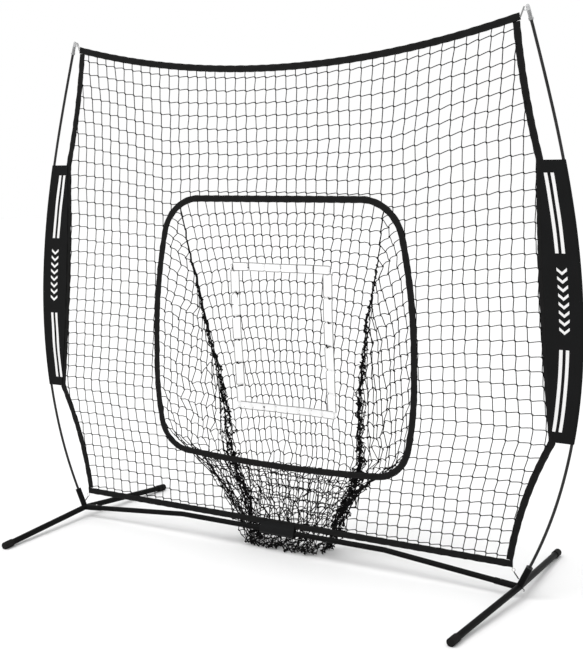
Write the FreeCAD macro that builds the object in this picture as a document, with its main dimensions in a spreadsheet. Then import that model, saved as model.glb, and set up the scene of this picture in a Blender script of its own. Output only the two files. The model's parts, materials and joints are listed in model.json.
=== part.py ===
import FreeCAD, Part
import math
import os

import Sketcher
from FreeCAD import Placement, Rotation, Vector

# Free-standing pitching target net.  Millimetres, +Z up, +X along the net's width, +Y towards the
# pocket at the back.  The origin is on the floor, midway between the two feet, under the net.

SIDES = (("left", -1), ("right", 1))
ENDS = (("front", -1), ("rear", 1))

doc = FreeCAD.newDocument("pitching_target_net")
nodes = []

# ------------------------------------------------------------------------------------------
# Driving dimensions
# ------------------------------------------------------------------------------------------

DIMENSIONS = (
    # steel base
    ("foot_tube_dia", 25.0), ("tube_wall", 1.2), ("bar_dia", 22.0), ("bend_radius", 150.0),
    ("hub_x", 1045.0), ("hub_z", 42.5), ("foot_tip_x", 1010.0), ("foot_reach", 545.0),
    ("foot_tip_z", 14.5), ("bar_mid_z", 92.0), ("bar_bend_x", 490.0), ("bar_end_x", 1029.0),
    ("swage_length", 60.0), ("swage_gap", 0.1), ("stub_end_x", 950.0), ("button_x", 974.0),
    # rubber foot caps
    ("foot_cap_dia", 31.0), ("foot_cap_length", 45.0), ("foot_cap_end", 5.0),
    # pole sockets and their plastic bushes
    ("socket_lean", 25.5), ("socket_length", 88.0), ("bush_depth", 62.0), ("bush_flange", 2.5),
    # fibreglass poles
    ("pole_dia", 11.0), ("pole_length", 2040.0), ("pole_turn", 42.0), ("pole_power", 1.8),
    ("pole_insert", 58.0), ("ferrule_dia", 14.0), ("ferrule_length", 60.0), ("running_gap", 0.05),
    ("pole_cap_dia", 18.0), ("pole_cap_length", 58.0), ("pole_cap_depth", 36.0),
    # snap buttons
    ("button_dia", 7.0), ("button_height", 2.5), ("clip_width", 8.0), ("clip_sheet", 0.6),
    # netting and its webbing border
    ("webbing", 27.0), ("border_sheet", 5.0), ("net_sheet", 4.0),
    ("corner_x", 1004.0), ("top_mid_z", 1971.0), ("top_sag", 125.0),
    ("bottom_z", 112.0), ("bottom_x", 1019.5),
    ("sleeve_top_z", 1600.0), ("sleeve_bottom_z", 600.0), ("sleeve_sheet", 4.0),
    ("sleeve_channel_dia", 14.8), ("sleeve_channel_wall", 1.0),
    # mouth ring
    ("ring_sheet", 6.0),
    ("band_top_z", 1400.0), ("band_bottom_z", 430.0),
    # strike zone straps
    ("strap", 44.0), ("cross_strap", 36.0), ("strap_sheet", 2.0), ("strike_x", 242.0),
    ("strike_top_z", 1197.0), ("strike_bottom_z", 563.0),
    # closing wrap in the middle of the base bar
    ("wrap_length", 166.0), ("wrap_sheet", 2.0), ("wrap_top_z", 128.0), ("wrap_bottom_z", 76.0),
    # corner tie cords
    ("cord_dia", 4.5), ("tie_ring_radius", 6.0), ("tie_ring_wire", 1.5), ("hook_wire", 3.0),
)

sheet = doc.addObject("Spreadsheet::Sheet", "Dimensions")
for row, (alias, value) in enumerate(DIMENSIONS, start=1):
    sheet.set("A%d" % row, alias)
    sheet.set("B%d" % row, str(value))
    sheet.setAlias("B%d" % row, alias)
doc.recompute()


def size(alias):
    """The value of one driving dimension."""
    return float(sheet.get(alias))


# ------------------------------------------------------------------------------------------
# Small helpers
# ------------------------------------------------------------------------------------------

def keep(thing, label):
    """Name a finished sub-part and list it for export."""
    thing.Label = label
    nodes.append(thing)
    return thing


def shape_part(label, shape, placement=None):
    """A sub-part whose shape is worked out here from the sheet's values."""
    feature = doc.addObject("Part::Feature", label)
    feature.Shape = shape
    if placement is not None:
        feature.Placement = placement
    return keep(feature, label)


def new_body(name):
    return doc.addObject("PartDesign::Body", name)


def new_sketch(body, role, geometry, offset=None):
    """A sketch on one of the body's origin planes, holding the given geometry."""
    sketch = body.newObject("Sketcher::SketchObject", "Sketch")
    plane = [item for item in body.Origin.OriginFeatures if item.Role == role][0]
    sketch.AttachmentSupport = [(plane, "")]
    sketch.MapMode = "FlatFace"
    if offset is not None:
        sketch.AttachmentOffset = Placement(offset, Rotation())
    sketch.addGeometry(geometry, False)
    return sketch


def closed_lines(points):
    """Straight sides through flat (x, y) points, closed."""
    corners = [Vector(x, y, 0) for x, y in points]
    return [Part.LineSegment(a, b) for a, b in zip(corners, corners[1:] + corners[:1])]


def pad(body, sketch, length, symmetric=False):
    """Pad a sketch by a length given as an expression on the sheet."""
    feature = body.newObject("PartDesign::Pad", "Pad")
    feature.Profile = sketch
    feature.setExpression("Length", length)
    feature.SideType = "Symmetric" if symmetric else "One side"
    sketch.Visibility = False
    return feature


def ring_body(name, outer, inner, length):
    """A plain tube along its own +Z; outer and inner diameter and length are expressions."""
    body = new_body(name)
    middle = Vector(0, 0, 0)
    up = Vector(0, 0, 1)
    sketch = new_sketch(body, "XY_Plane", [Part.Circle(middle, up, 10), Part.Circle(middle, up, 8)])
    for index, (expression, label) in enumerate(((outer, "outer"), (inner, "inner"))):
        sketch.addConstraint(Sketcher.Constraint("Coincident", index, 3, -1, 1))
        number = sketch.addConstraint(Sketcher.Constraint("Diameter", index, 10 - 2 * index))
        sketch.renameConstraint(number, label)
        sketch.setExpression("Constraints." + label, expression)
    pad(body, sketch, length)
    return body


def turned_body(name, outline, placement=None):
    """A solid of revolution about its own +Z; outline is (radius, height) points."""
    body = new_body(name)
    sketch = new_sketch(body, "XZ_Plane", closed_lines(outline))
    turn = body.newObject("PartDesign::Revolution", "Revolution")
    turn.Profile = sketch
    turn.ReferenceAxis = (sketch, ["V_Axis"])
    turn.Angle = 360
    if placement is not None:
        body.Placement = placement
    return body


def along(start, direction):
    """The placement that puts a piece's own +Z along a direction, at a start point."""
    return Placement(start, Rotation(Vector(0, 0, 1), direction))


def pipe(path, radius):
    """A round rod of one radius swept along a wire."""
    first = path.Edges[0]
    tangent = first.tangentAt(first.FirstParameter)
    start = first.valueAt(first.FirstParameter)
    profile = Part.Wire([Part.makeCircle(radius, start, tangent)])
    return path.makePipeShell([profile], True, False)


def rounded_path(points, radius):
    """Straight runs through points, joined by tangent arcs of one radius."""
    edges = []
    cursor = points[0]
    for before, corner, after in zip(points, points[1:], points[2:]):
        back = (before - corner).normalize()
        ahead = (after - corner).normalize()
        half = back.getAngle(ahead) / 2
        reach = radius / math.tan(half)
        enter = corner + back * reach
        leave = corner + ahead * reach
        bisector = (back + ahead).normalize()
        middle = corner + bisector * (radius / math.sin(half) - radius)
        edges.append(Part.LineSegment(cursor, enter).toShape())
        edges.append(Part.Arc(enter, middle, leave).toShape())
        cursor = leave
    edges.append(Part.LineSegment(cursor, points[-1]).toShape())
    return Part.Wire(edges)


# ------------------------------------------------------------------------------------------
# Steel base: bent feet, stubs, sockets and the two-part cross bar
# ------------------------------------------------------------------------------------------

lean = math.radians(size("socket_lean"))
bar_run = size("hub_x") - size("bar_bend_x")
bar_rise = size("bar_mid_z") - size("hub_z")
bar_slope = math.atan2(bar_rise, bar_run)
tube_bore = "Dimensions.%s - 2 * Dimensions.tube_wall"


def hub_point(side):
    return Vector(side * size("hub_x"), 0, size("hub_z"))


def socket_axis(side):
    """Unit vector up the pole socket, which leans outward."""
    return Vector(side * math.sin(lean), 0, math.cos(lean))


def stub_axis(side):
    """Unit vector from the hub towards the middle, along the cross bar's rising end."""
    return Vector(-side * math.cos(bar_slope), 0, math.sin(bar_slope))


def foot_tip(side, end):
    return Vector(side * size("foot_tip_x"), end * size("foot_reach"), size("foot_tip_z"))


def foot_rod(side, radius):
    """The foot's path from its front tip over the hub to its rear tip, as a solid rod."""
    points = [foot_tip(side, -1), hub_point(side), foot_tip(side, 1)]
    return pipe(rounded_path(points, size("bend_radius")), radius)


def build_foot(name, side):
    outer = size("foot_tube_dia") / 2
    bore = foot_rod(side, outer - size("tube_wall"))
    shape_part("foot_tube_" + name, foot_rod(side, outer).cut(bore))


def build_stub(name, side):
    """Short tube welded to the foot; the cross bar plugs into it up to the snap button."""
    length = (size("hub_x") - size("stub_end_x")) / math.cos(bar_slope)
    tube = ring_body("stub_blank_" + name, "Dimensions.foot_tube_dia",
                     tube_bore % "foot_tube_dia", "%f mm" % length)
    tube.Placement = along(hub_point(side), stub_axis(side))
    doc.recompute()
    shape = tube.Shape.cut(foot_rod(side, size("foot_tube_dia") / 2))
    solid = max(shape.Solids, key=lambda piece: piece.Volume)
    hole = button_rod(side, size("button_dia") / 2 + size("running_gap"))
    shape_part("bar_stub_" + name, solid.cut(hole))


def build_socket(name, side):
    """Leaning tube welded to the top of the foot, coped round the foot and the stub."""
    tube = ring_body("socket_blank_" + name, "Dimensions.foot_tube_dia",
                     tube_bore % "foot_tube_dia", "Dimensions.socket_length")
    tube.Placement = along(hub_point(side), socket_axis(side))
    doc.recompute()
    radius = size("foot_tube_dia") / 2
    reach = 2 * radius + size("socket_length")
    stub_rod = Part.makeCylinder(radius, reach, hub_point(side), stub_axis(side))
    shape = tube.Shape.cut(foot_rod(side, radius)).cut(stub_rod)
    shape_part("pole_socket_" + name, max(shape.Solids, key=lambda piece: piece.Volume))


def build_bush(name, side):
    """Plastic liner of the socket, with a flange over the socket's rim."""
    bore = size("pole_dia") / 2 + size("running_gap")
    inside = size("foot_tube_dia") / 2 - size("tube_wall") - size("running_gap")
    rim = size("foot_tube_dia") / 2 + 0.5
    depth = size("bush_depth")
    flange = size("bush_flange")
    outline = ((bore, -depth), (inside, -depth), (inside, 0), (rim, 0), (rim, flange), (bore, flange))
    top = hub_point(side) + socket_axis(side) * size("socket_length")
    keep(turned_body("socket_bush_" + name, outline, along(top, socket_axis(side))), "socket_bush_" + name)


def build_foot_cap(name, side, end_name, end):
    """Rubber cap over the foot's end, moulded flat where it meets the floor."""
    radius = size("foot_cap_dia") / 2
    bore = size("foot_tube_dia") / 2 + size("running_gap")
    length = size("foot_cap_length")
    nose = size("foot_cap_end")
    chamfer = nose * 0.7
    outline = ((0, 0), (bore, 0), (bore, -length), (radius, -length), (radius, nose - chamfer),
               (radius - chamfer * 0.4, nose - chamfer * 0.3), (radius - chamfer * 1.2, nose), (0, nose))
    tip = foot_tip(side, end)
    label = "foot_cap_%s_%s" % (end_name, name)
    body = turned_body(label + "_blank", outline, along(tip, tip - hub_point(side)))
    floor = doc.addObject("Part::Box", "floor_cut")
    floor.setExpression("Length", "Dimensions.foot_cap_length * 4")
    floor.setExpression("Width", "Dimensions.foot_cap_length * 4")
    floor.setExpression("Height", "Dimensions.foot_cap_length")
    reach = 2 * length
    floor.Placement = Placement(Vector(tip.x - reach, tip.y - reach, -length), Rotation())
    trimmed = doc.addObject("Part::Cut", label)
    trimmed.Base = body
    trimmed.Tool = floor
    keep(trimmed, label)


# Length of the short step between the left half's full diameter and its swaged end.
SHOULDER = 3.0


def bar_path(side):
    """One half of the cross bar, from inside the stub over its bend to the middle joint."""
    inner = -side * size("swage_length") if side < 0 else 0
    end = hub_point(side) + stub_axis(side) * ((size("hub_x") - size("bar_end_x")) / math.cos(bar_slope))
    bend = Vector(side * size("bar_bend_x"), 0, size("bar_mid_z"))
    return end, bend, Vector(inner, 0, size("bar_mid_z"))


def build_bar(name, side):
    """Cross bar half; the left half is swaged down to slide into the right half."""
    end, bend, middle = bar_path(side)
    radius = size("bar_dia") / 2
    bore = radius - size("tube_wall")
    plain = Vector(0, 0, size("bar_mid_z"))
    path = rounded_path([end, bend, plain], size("bend_radius"))
    tube = pipe(path, radius).cut(pipe(path, bore))
    if side < 0:
        neck = bore - size("swage_gap")
        swage = Part.makeCylinder(neck, size("swage_length"), plain, Vector(1, 0, 0))
        hole = Part.makeCylinder(neck - size("tube_wall"), size("swage_length"), plain, Vector(1, 0, 0))
        step = plain - Vector(SHOULDER, 0, 0)
        shoulder = Part.makeCylinder(bore, SHOULDER, step, Vector(1, 0, 0))
        passage = Part.makeCylinder(neck - size("tube_wall"), SHOULDER, step, Vector(1, 0, 0))
        tube = tube.fuse([swage.cut(hole), shoulder.cut(passage)]).removeSplitter()
    hole = button_rod(side, size("button_dia") / 2 + size("running_gap"))
    shape_part("base_bar_" + name, tube.cut(hole))


# ------------------------------------------------------------------------------------------
# Snap buttons that lock the bar in the stubs
# ------------------------------------------------------------------------------------------

# The button's foot stands this far inside the bar's bore, on the leaf spring.
BUTTON_FOOT = 3.0
# Its dome: shares of the radius, and how far below the top.
DOME = ((1.0, 1.6), (0.86, 0.8), (0.5, 0.2), (0.0, 0.0))
# The leaf spring reaches this far from the button each way, and bows by this much at its closed end.
CLIP_BACK, CLIP_FRONT, CLIP_BOW = 26.0, -6.0, 3.0
CLIP_GAP = 0.1


def button_foot():
    """Height of the button's foot over the bar's axis."""
    return size("bar_dia") / 2 - size("tube_wall") - BUTTON_FOOT


def button_frame(side):
    """Point on the bar's axis under the button, and the way the button points."""
    across = (size("hub_x") - size("button_x")) / math.cos(bar_slope)
    point = hub_point(side) + stub_axis(side) * across
    up = Vector(side * math.sin(bar_slope), 0, math.cos(bar_slope))
    return point, up


def button_rod(side, radius):
    point, up = button_frame(side)
    return Part.makeCylinder(radius, size("foot_tube_dia"), point + up * 2, up)


def build_snap_button(name, side):
    """Domed steel button that stands through the stub's wall."""
    radius = size("button_dia") / 2
    top = size("foot_tube_dia") / 2 + size("button_height")
    outline = [(0, button_foot()), (radius, button_foot())]
    outline += [(radius * share, top - drop) for share, drop in DOME]
    point, up = button_frame(side)
    keep(turned_body("snap_button_" + name, outline, along(point, up)), "snap_button_" + name)


def build_button_clip(name, side):
    """Folded leaf spring inside the bar, under the button."""
    high = button_foot() - CLIP_GAP
    low = 10 * CLIP_GAP - (size("bar_dia") / 2 - size("tube_wall"))
    gauge = size("clip_sheet")
    middle = (button_foot() + low) / 2
    outline = ((CLIP_FRONT, high), (CLIP_BACK, middle + gauge), (CLIP_BACK + CLIP_BOW, middle),
               (CLIP_BACK, middle - gauge), (CLIP_FRONT, low), (CLIP_FRONT, low + gauge),
               (CLIP_BACK - CLIP_BOW, middle), (CLIP_FRONT, high - gauge))
    point, up = button_frame(side)
    body = new_body("button_clip_" + name)
    pad(body, new_sketch(body, "XZ_Plane", closed_lines(outline)), "Dimensions.clip_width", symmetric=True)
    body.Placement = Placement(point, Rotation(stub_axis(side), Vector(0, 0, 0), up, "ZXY"))
    keep(body, "button_clip_" + name)


# ------------------------------------------------------------------------------------------
# Fibreglass poles, bowed by the net's pull
# ------------------------------------------------------------------------------------------

def pole_angle(share):
    """Lean of the pole, in radians, at a share of its free length from the socket."""
    turned = size("pole_turn") * (1 - (1 - share) ** size("pole_power"))
    return math.radians(size("socket_lean") - turned)


def pole_step(side, start, first, last):
    """One tangent arc of the pole between two shares of its length."""
    length = (last - first) * size("pole_length")
    begin = pole_angle(first)
    turn = begin - pole_angle(last)

    def reach(part):
        angle = turn * part
        chord = 2 * math.sin(angle / 2) * length / turn
        heading = begin - angle / 2
        return start + Vector(side * math.sin(heading), 0, math.cos(heading)) * chord

    return Part.Arc(start, reach(0.5), reach(1.0)).toShape(), reach(1.0)


POLE_SHARES = (0.0, 0.16, 0.32, 0.49, 0.66, 0.83, 1.0)
POLE_SECTIONS = (("lower", 0, 2), ("middle", 2, 4), ("upper", 4, 6))


def pole_edges(side):
    """The six arcs of one pole, and the point where each begins, with the tip last."""
    point = hub_point(side) + socket_axis(side) * size("socket_length")
    points = [point]
    edges = []
    for first, last in zip(POLE_SHARES, POLE_SHARES[1:]):
        edge, point = pole_step(side, point, first, last)
        edges.append(edge)
        points.append(point)
    return edges, points


def build_pole(name, side):
    edges, points = pole_edges(side)
    root = points[0] - socket_axis(side) * size("pole_insert")
    radius = size("pole_dia") / 2
    for section, first, last in POLE_SECTIONS:
        run = edges[first:last]
        if first == 0:
            run = [Part.LineSegment(root, points[0]).toShape()] + run
        shape_part("pole_%s_%s" % (section, name), pipe(Part.Wire(run), radius))
    joints = []
    line = Part.Wire(edges)
    bore = pipe(line, radius + size("running_gap"))
    skin = pipe(line, size("ferrule_dia") / 2)
    for index in (2, 4):
        heading = pole_angle(POLE_SHARES[index])
        axis = Vector(side * math.sin(heading), 0, math.cos(heading))
        half = size("ferrule_length") / 2
        slice_block = Part.makeCylinder(size("ferrule_dia"), 2 * half, points[index] - axis * half, axis)
        joints.append(skin.common(slice_block).cut(bore))
    shape_part("pole_ferrules_" + name, Part.makeCompound(joints))


def pole_tip(side):
    """The pole's top point and its heading there."""
    edges, points = pole_edges(side)
    heading = pole_angle(1.0)
    return points[-1], Vector(side * math.sin(heading), 0, math.cos(heading))


def build_pole_cap(name, side):
    """Clear end cap pressed on the pole's tip, with a hook on its inner side for the net's loop."""
    tip, axis = pole_tip(side)
    radius = size("pole_cap_dia") / 2
    bore = size("pole_dia") / 2 + size("running_gap")
    length = size("pole_cap_length")
    depth = size("pole_cap_depth")
    top = length - depth
    outline = ((0, 0), (bore, 0), (bore, -depth), (radius - 1.5, -depth), (radius, -depth + 2),
               (radius, -depth + 10), (radius - 1.8, -depth + 12), (radius - 1.8, top - 7),
               (radius - 3.6, top - 2), (radius - 6, top), (0, top))
    cap = turned_body("cap_blank_" + name, outline, along(tip, axis))
    doc.recompute()
    inward = Vector(-side, 0, 0)
    root = tip + axis * 2 + inward * (radius - 4)
    elbow = root + inward * 13
    lip = elbow + Vector(0, 0, 9)
    hook = pipe(rounded_path([root, elbow, lip], 4), size("hook_wire") / 2 + 0.4)
    shape_part("pole_cap_" + name, cap.Shape.fuse(hook).removeSplitter())


# ------------------------------------------------------------------------------------------
# Netting, webbing border and side sleeves, all in the plane Y = 0
# ------------------------------------------------------------------------------------------

def top_radius():
    return (size("corner_x") ** 2 + size("top_sag") ** 2) / (2 * size("top_sag"))


def top_height(x, offset):
    """Height of the sagging top border at x, offset up from its centre line."""
    radius = top_radius()
    return size("top_mid_z") + radius - math.sqrt((radius - offset) ** 2 - x * x)


def top_arc(half, offset):
    """The sagging arc from +half to -half, offset up from the border's centre line."""
    ends = [Vector(x, top_height(x, offset), 0) for x in (half, 0, -half)]
    return Part.Arc(*ends)


# Centre line of the right-hand side border: above the sleeve, beside it and below it.
UPPER_MIDDLE = (1033.0, 1815.0)
SLEEVE_TOP_X = 1086.0
SLEEVE_MIDDLE = (1111.0, 1100.0)
SLEEVE_BOTTOM_X = 1157.0
LOWER_MIDDLE = (1060.0, 370.0)
BAND = size("webbing") / 2
BORDER_TOP_Z = size("bottom_z") + size("webbing")


def side_stops(offset):
    """Points down the right-hand border at a sideways offset from its centre line."""
    corner = size("corner_x") - BAND + offset
    foot = size("bottom_x") - BAND + offset
    return (Vector(corner, top_height(corner, -BAND), 0),
            Vector(UPPER_MIDDLE[0] + offset, UPPER_MIDDLE[1], 0),
            Vector(SLEEVE_TOP_X + offset, size("sleeve_top_z"), 0),
            Vector(SLEEVE_MIDDLE[0] + offset, SLEEVE_MIDDLE[1], 0),
            Vector(SLEEVE_BOTTOM_X + offset, size("sleeve_bottom_z"), 0),
            Vector(LOWER_MIDDLE[0] + offset, LOWER_MIDDLE[1], 0),
            Vector(foot, BORDER_TOP_Z, 0))


def side_arcs(side, offset):
    """Three arcs down one side border at a sideways offset, outward positive."""
    stops = [Vector(side * stop.x, stop.y, 0) for stop in side_stops(offset)]
    return [Part.Arc(*stops[first:first + 3]) for first in (0, 2, 4)], stops


def build_borders():
    top = new_body("border_top")
    half = size("corner_x")
    upper, lower = top_arc(half, BAND), top_arc(half, -BAND)
    ends = [Part.LineSegment(Vector(x, top_height(x, -BAND), 0), Vector(x, top_height(x, BAND), 0))
            for x in (half, -half)]
    pad(top, new_sketch(top, "XZ_Plane", [upper, lower] + ends), "Dimensions.border_sheet", True)
    keep(top, "border_top")

    bottom = new_body("border_bottom")
    reach = size("bottom_x")
    low = size("bottom_z")
    corners = ((-reach, low), (reach, low), (reach, BORDER_TOP_Z), (-reach, BORDER_TOP_Z))
    pad(bottom, new_sketch(bottom, "XZ_Plane", closed_lines(corners)), "Dimensions.border_sheet", True)
    keep(bottom, "border_bottom")

    for name, side in SIDES:
        inner, inner_stops = side_arcs(side, -BAND)
        outer, outer_stops = side_arcs(side, BAND)
        caps = [Part.LineSegment(inner_stops[index], outer_stops[index]) for index in (0, -1)]
        body = new_body("border_" + name)
        pad(body, new_sketch(body, "XZ_Plane", inner + outer + caps), "Dimensions.border_sheet", True)
        keep(body, "border_" + name)


# The mouth ring's centre line on the right, from its top straight to the middle of its lower edge:
# x, z and the direction in degrees that is square to it there. Arcs run from every other stop.
MOUTH_STOPS = ((395.0, 1457.0, 88.0), (499.0, 1413.0, 50.0), (555.0, 1325.0, 15.0),
               (595.0, 1095.0, 7.0), (611.0, 800.0, 1.0), (609.0, 650.0, -4.0), (590.0, 505.0, -10.0),
               (550.0, 425.0, -44.0), (465.0, 382.0, -84.0), (240.0, 370.0, -88.0), (0.0, 366.0, -90.0))


def rounded_mouth(offset):
    """Rounded outline of the mouth, offset outward from the ring's centre line."""
    outline = []
    ends = []
    for side in (1, -1):
        stops = []
        for x, z, square in MOUTH_STOPS:
            turn = math.radians(square)
            stops.append(Vector(side * (x + offset * math.cos(turn)), z + offset * math.sin(turn), 0))
        stops[-1].x = 0.0
        ends.append(stops[0])
        for index in range(0, len(stops) - 1, 2):
            outline.append(Part.Arc(*stops[index:index + 3]))
    outline.append(Part.LineSegment(ends[1], ends[0]))
    return outline


def build_mouth_ring():
    body = new_body("mouth_ring")
    outline = rounded_mouth(BAND) + rounded_mouth(-BAND)
    pad(body, new_sketch(body, "XZ_Plane", outline), "Dimensions.ring_sheet", True)
    keep(body, "mouth_ring")


def build_net():
    """The flat netting round the mouth, in four pieces: above, below and at each side."""
    right, right_stops = side_arcs(1, -BAND)
    left, left_stops = side_arcs(-1, -BAND)
    corner = size("corner_x") - 2 * BAND
    outline = [top_arc(corner, -BAND)] + left + right
    outline.append(Part.LineSegment(left_stops[-1], right_stops[-1]))
    blank = new_body("net_blank")
    pad(blank, new_sketch(blank, "XZ_Plane", outline), "Dimensions.net_sheet", True)
    mouth = new_sketch(blank, "XZ_Plane", rounded_mouth(BAND))
    opening = blank.newObject("PartDesign::Pocket", "Mouth")
    opening.Profile = mouth
    opening.Type = "ThroughAll"
    opening.SideType = "Symmetric"
    doc.recompute()
    width = 2 * (SLEEVE_BOTTOM_X + size("webbing"))
    high, low = size("band_top_z"), size("band_bottom_z")
    boxes = (("net_upper", -width / 2, width, high, 1000),
             ("net_lower", -width / 2, width, 0, low),
             ("net_side_left", -width / 2, width / 2, low, high - low),
             ("net_side_right", 0, width / 2, low, high - low))
    for label, x, length, z, height in boxes:
        box = doc.addObject("Part::Box", label + "_box")
        box.Length, box.Width, box.Height = length, 100, height
        box.Placement = Placement(Vector(x, -50, z), Rotation())
        piece = doc.addObject("Part::Common", label)
        piece.Base = blank
        piece.Tool = box
        keep(piece, label)


def build_sleeve(name, side):
    """Fabric side sleeve: a flat panel from the border out to a channel round the pole."""
    edges, _ = pole_edges(side)
    line = Part.Wire(edges)
    bore = pipe(line, size("sleeve_channel_dia") / 2)
    skin = pipe(line, size("sleeve_channel_dia") / 2 + size("sleeve_channel_wall"))
    high, low = size("sleeve_top_z"), size("sleeve_bottom_z")
    stops = [Vector(side * (stop.x), 0, stop.y) for stop in side_stops(BAND)]
    inner = Part.Arc(stops[2], stops[3], stops[4]).toShape()
    far = Vector(side * 1300, 0, high)
    frame = [Part.LineSegment(stops[2], far).toShape(),
             Part.LineSegment(far, Vector(far.x, 0, low)).toShape(),
             Part.LineSegment(Vector(far.x, 0, low), stops[4]).toShape()]
    slab = Part.Face(Part.Wire([inner] + frame[::-1]))
    thick = size("sleeve_sheet")
    slab.translate(Vector(0, -thick / 2, 0))
    panel = slab.extrude(Vector(0, thick, 0))
    span = Part.makeBox(600, 60, high - low, Vector(side * 1200 - 300, -30, low))
    channel = skin.common(span)
    inside = panel.cut(skin)
    panel = min(inside.Solids, key=lambda piece: abs(piece.CenterOfMass.x))
    shape_part("sleeve_" + name, panel.fuse(channel.cut(bore)).removeSplitter())


# ------------------------------------------------------------------------------------------
# Pocket behind the mouth, with the strike zone on its back panel
# ------------------------------------------------------------------------------------------

# Half width and depth of the hanging back panel at falling heights.
POCKET_STOPS = ((1446.0, 472.0, 5.0), (900.0, 372.0, 52.0), (360.0, 300.0, 138.0), (40.0, 190.0, 150.0))
# The same for the lobe that hangs in front of it from the ring's lower edge.
FRONT_STOPS = ((350.0, 385.0, 8.0), (200.0, 290.0, 24.0), (60.0, 205.0, 24.0), (12.0, 170.0, 10.0))
# How far the front lobe's edges stay inside the side panels, and the side panels outside the back panel.
SEAM_GAP = 5.0
PANEL_GAP = 2.0
# Heights at which the side panels follow the mouth ring, their half width there, and how far behind it.
SIDE_STOPS = ((1370.0, 526.0), (900.0, 598.0), (470.0, 566.0))
SIDE_DEPTH = 5.0
# The pocket's floor: width, depth and thickness, and where its near edge and underside are.
FLOOR_WIDTH, FLOOR_DEPTH, FLOOR_SHEET = 320.0, 136.0, 8.0
FLOOR_NEAR_Y, FLOOR_LOW_Z = 18.0, 12.0


def pocket_at(height):
    """Half width and front depth of the back panel at a height."""
    for (high, wide, near), (low, slim, deep) in zip(POCKET_STOPS, POCKET_STOPS[1:]):
        if height >= low:
            part = (high - height) / (high - low)
            return wide + (slim - wide) * part, near + (deep - near) * part
    return POCKET_STOPS[-1][1:]


def loft_down(label, levels):
    """A thin solid through flat outlines at falling heights; levels are (z, corner points)."""
    body = new_body(label)
    sketches = []
    for z, corners in levels:
        sketches.append(new_sketch(body, "XY_Plane", closed_lines(corners), Vector(0, 0, z)))
    loft = body.newObject("PartDesign::AdditiveLoft", "Loft")
    loft.Profile = sketches[0]
    loft.Sections = sketches[1:]
    loft.Ruled = True
    return keep(body, label)


def build_pocket():
    thick = size("net_sheet")
    levels = []
    for z, half, near in POCKET_STOPS:
        levels.append((z, ((-half, near), (half, near), (half, near + thick), (-half, near + thick))))
    loft_down("pocket_back", levels)

    for name, side in SIDES:
        levels = []
        rows = [(z, half, SIDE_DEPTH) for z, half in SIDE_STOPS]
        rows += [(z, wide + PANEL_GAP, near) for z, wide, near in FRONT_STOPS[:3]]
        for z, wide, start in rows:
            half, near = pocket_at(z)
            inner, outer = half + PANEL_GAP, wide + PANEL_GAP
            corners = ((wide, start), (inner, near), (inner, near + thick), (outer, start + thick))
            levels.append((z, [(side * x, y) for x, y in corners]))
        loft_down("pocket_side_" + name, levels)

    levels = []
    for z, wide, near in FRONT_STOPS:
        half = wide - SEAM_GAP
        levels.append((z, ((-half, near), (half, near), (half, near + thick), (-half, near + thick))))
    loft_down("pocket_front", levels)

    floor = doc.addObject("Part::Box", "pocket_floor")
    floor.Length, floor.Width, floor.Height = FLOOR_WIDTH, FLOOR_DEPTH, FLOOR_SHEET
    floor.Placement = Placement(Vector(-FLOOR_WIDTH / 2, FLOOR_NEAR_Y, FLOOR_LOW_Z), Rotation())
    keep(floor, "pocket_floor")


def build_strike_zone():
    """Four white straps in front of the pocket's back panel; the uprights end at the cross straps."""
    strap, cross = size("strap"), size("cross_strap")
    sheet_thick = size("strap_sheet")
    gap = 0.6
    half = size("strike_x")
    high, low = size("strike_top_z"), size("strike_bottom_z")
    clip = 10.0

    def front(z):
        return pocket_at(z)[1] - gap - sheet_thick

    def level(z, inner, outer):
        near = front(z)
        return (z, ((inner, near), (outer, near), (outer, near + sheet_thick), (inner, near + sheet_thick)))

    loft_down("strike_strap_top", [level(high, -half + clip, half - clip), level(high - clip, -half, half),
                                   level(high - cross, -half, half)])
    loft_down("strike_strap_bottom", [level(low + cross, -half, half), level(low + clip, -half, half),
                                      level(low, -half + clip, half - clip)])
    for name, side in SIDES:
        inner, outer = sorted((side * half, side * (half - strap)))
        stops = (high - cross, POCKET_STOPS[1][0], low + cross)
        loft_down("strike_strap_" + name, [level(z, inner, outer) for z in stops])


# ------------------------------------------------------------------------------------------
# Closing wrap, corner loops and tie cords
# ------------------------------------------------------------------------------------------

def build_wrap():
    """Hook-and-loop wrap that holds the bottom border to the cross bar; its front flap opens."""
    axis_z = size("bar_mid_z")
    out = size("bar_dia") / 2 + 1.5
    thick = size("wrap_sheet")
    top, bottom = size("wrap_top_z"), size("wrap_bottom_z")
    back = size("border_sheet") / 2 + 0.5
    body = new_body("wrap_body")
    outline = ((back, top), (back + thick, top), (out + thick, axis_z + 10), (out + thick, bottom - thick),
               (-out, bottom - thick), (-out, bottom), (out, bottom), (out, axis_z + 9))
    sketch = new_sketch(body, "YZ_Plane", closed_lines(outline))
    pad(body, sketch, "Dimensions.wrap_length", True)
    keep(body, "wrap_body")

    flap = new_body("wrap_flap")
    outline = ((-out, bottom + 0.4), (-out, axis_z + 9), (-back, top), (-back - thick, top),
               (-out - thick, axis_z + 10), (-out - thick, bottom + 0.4))
    sketch = new_sketch(flap, "YZ_Plane", closed_lines(outline))
    pad(flap, sketch, "Dimensions.wrap_length", True)
    keep(flap, "wrap_flap")


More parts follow.
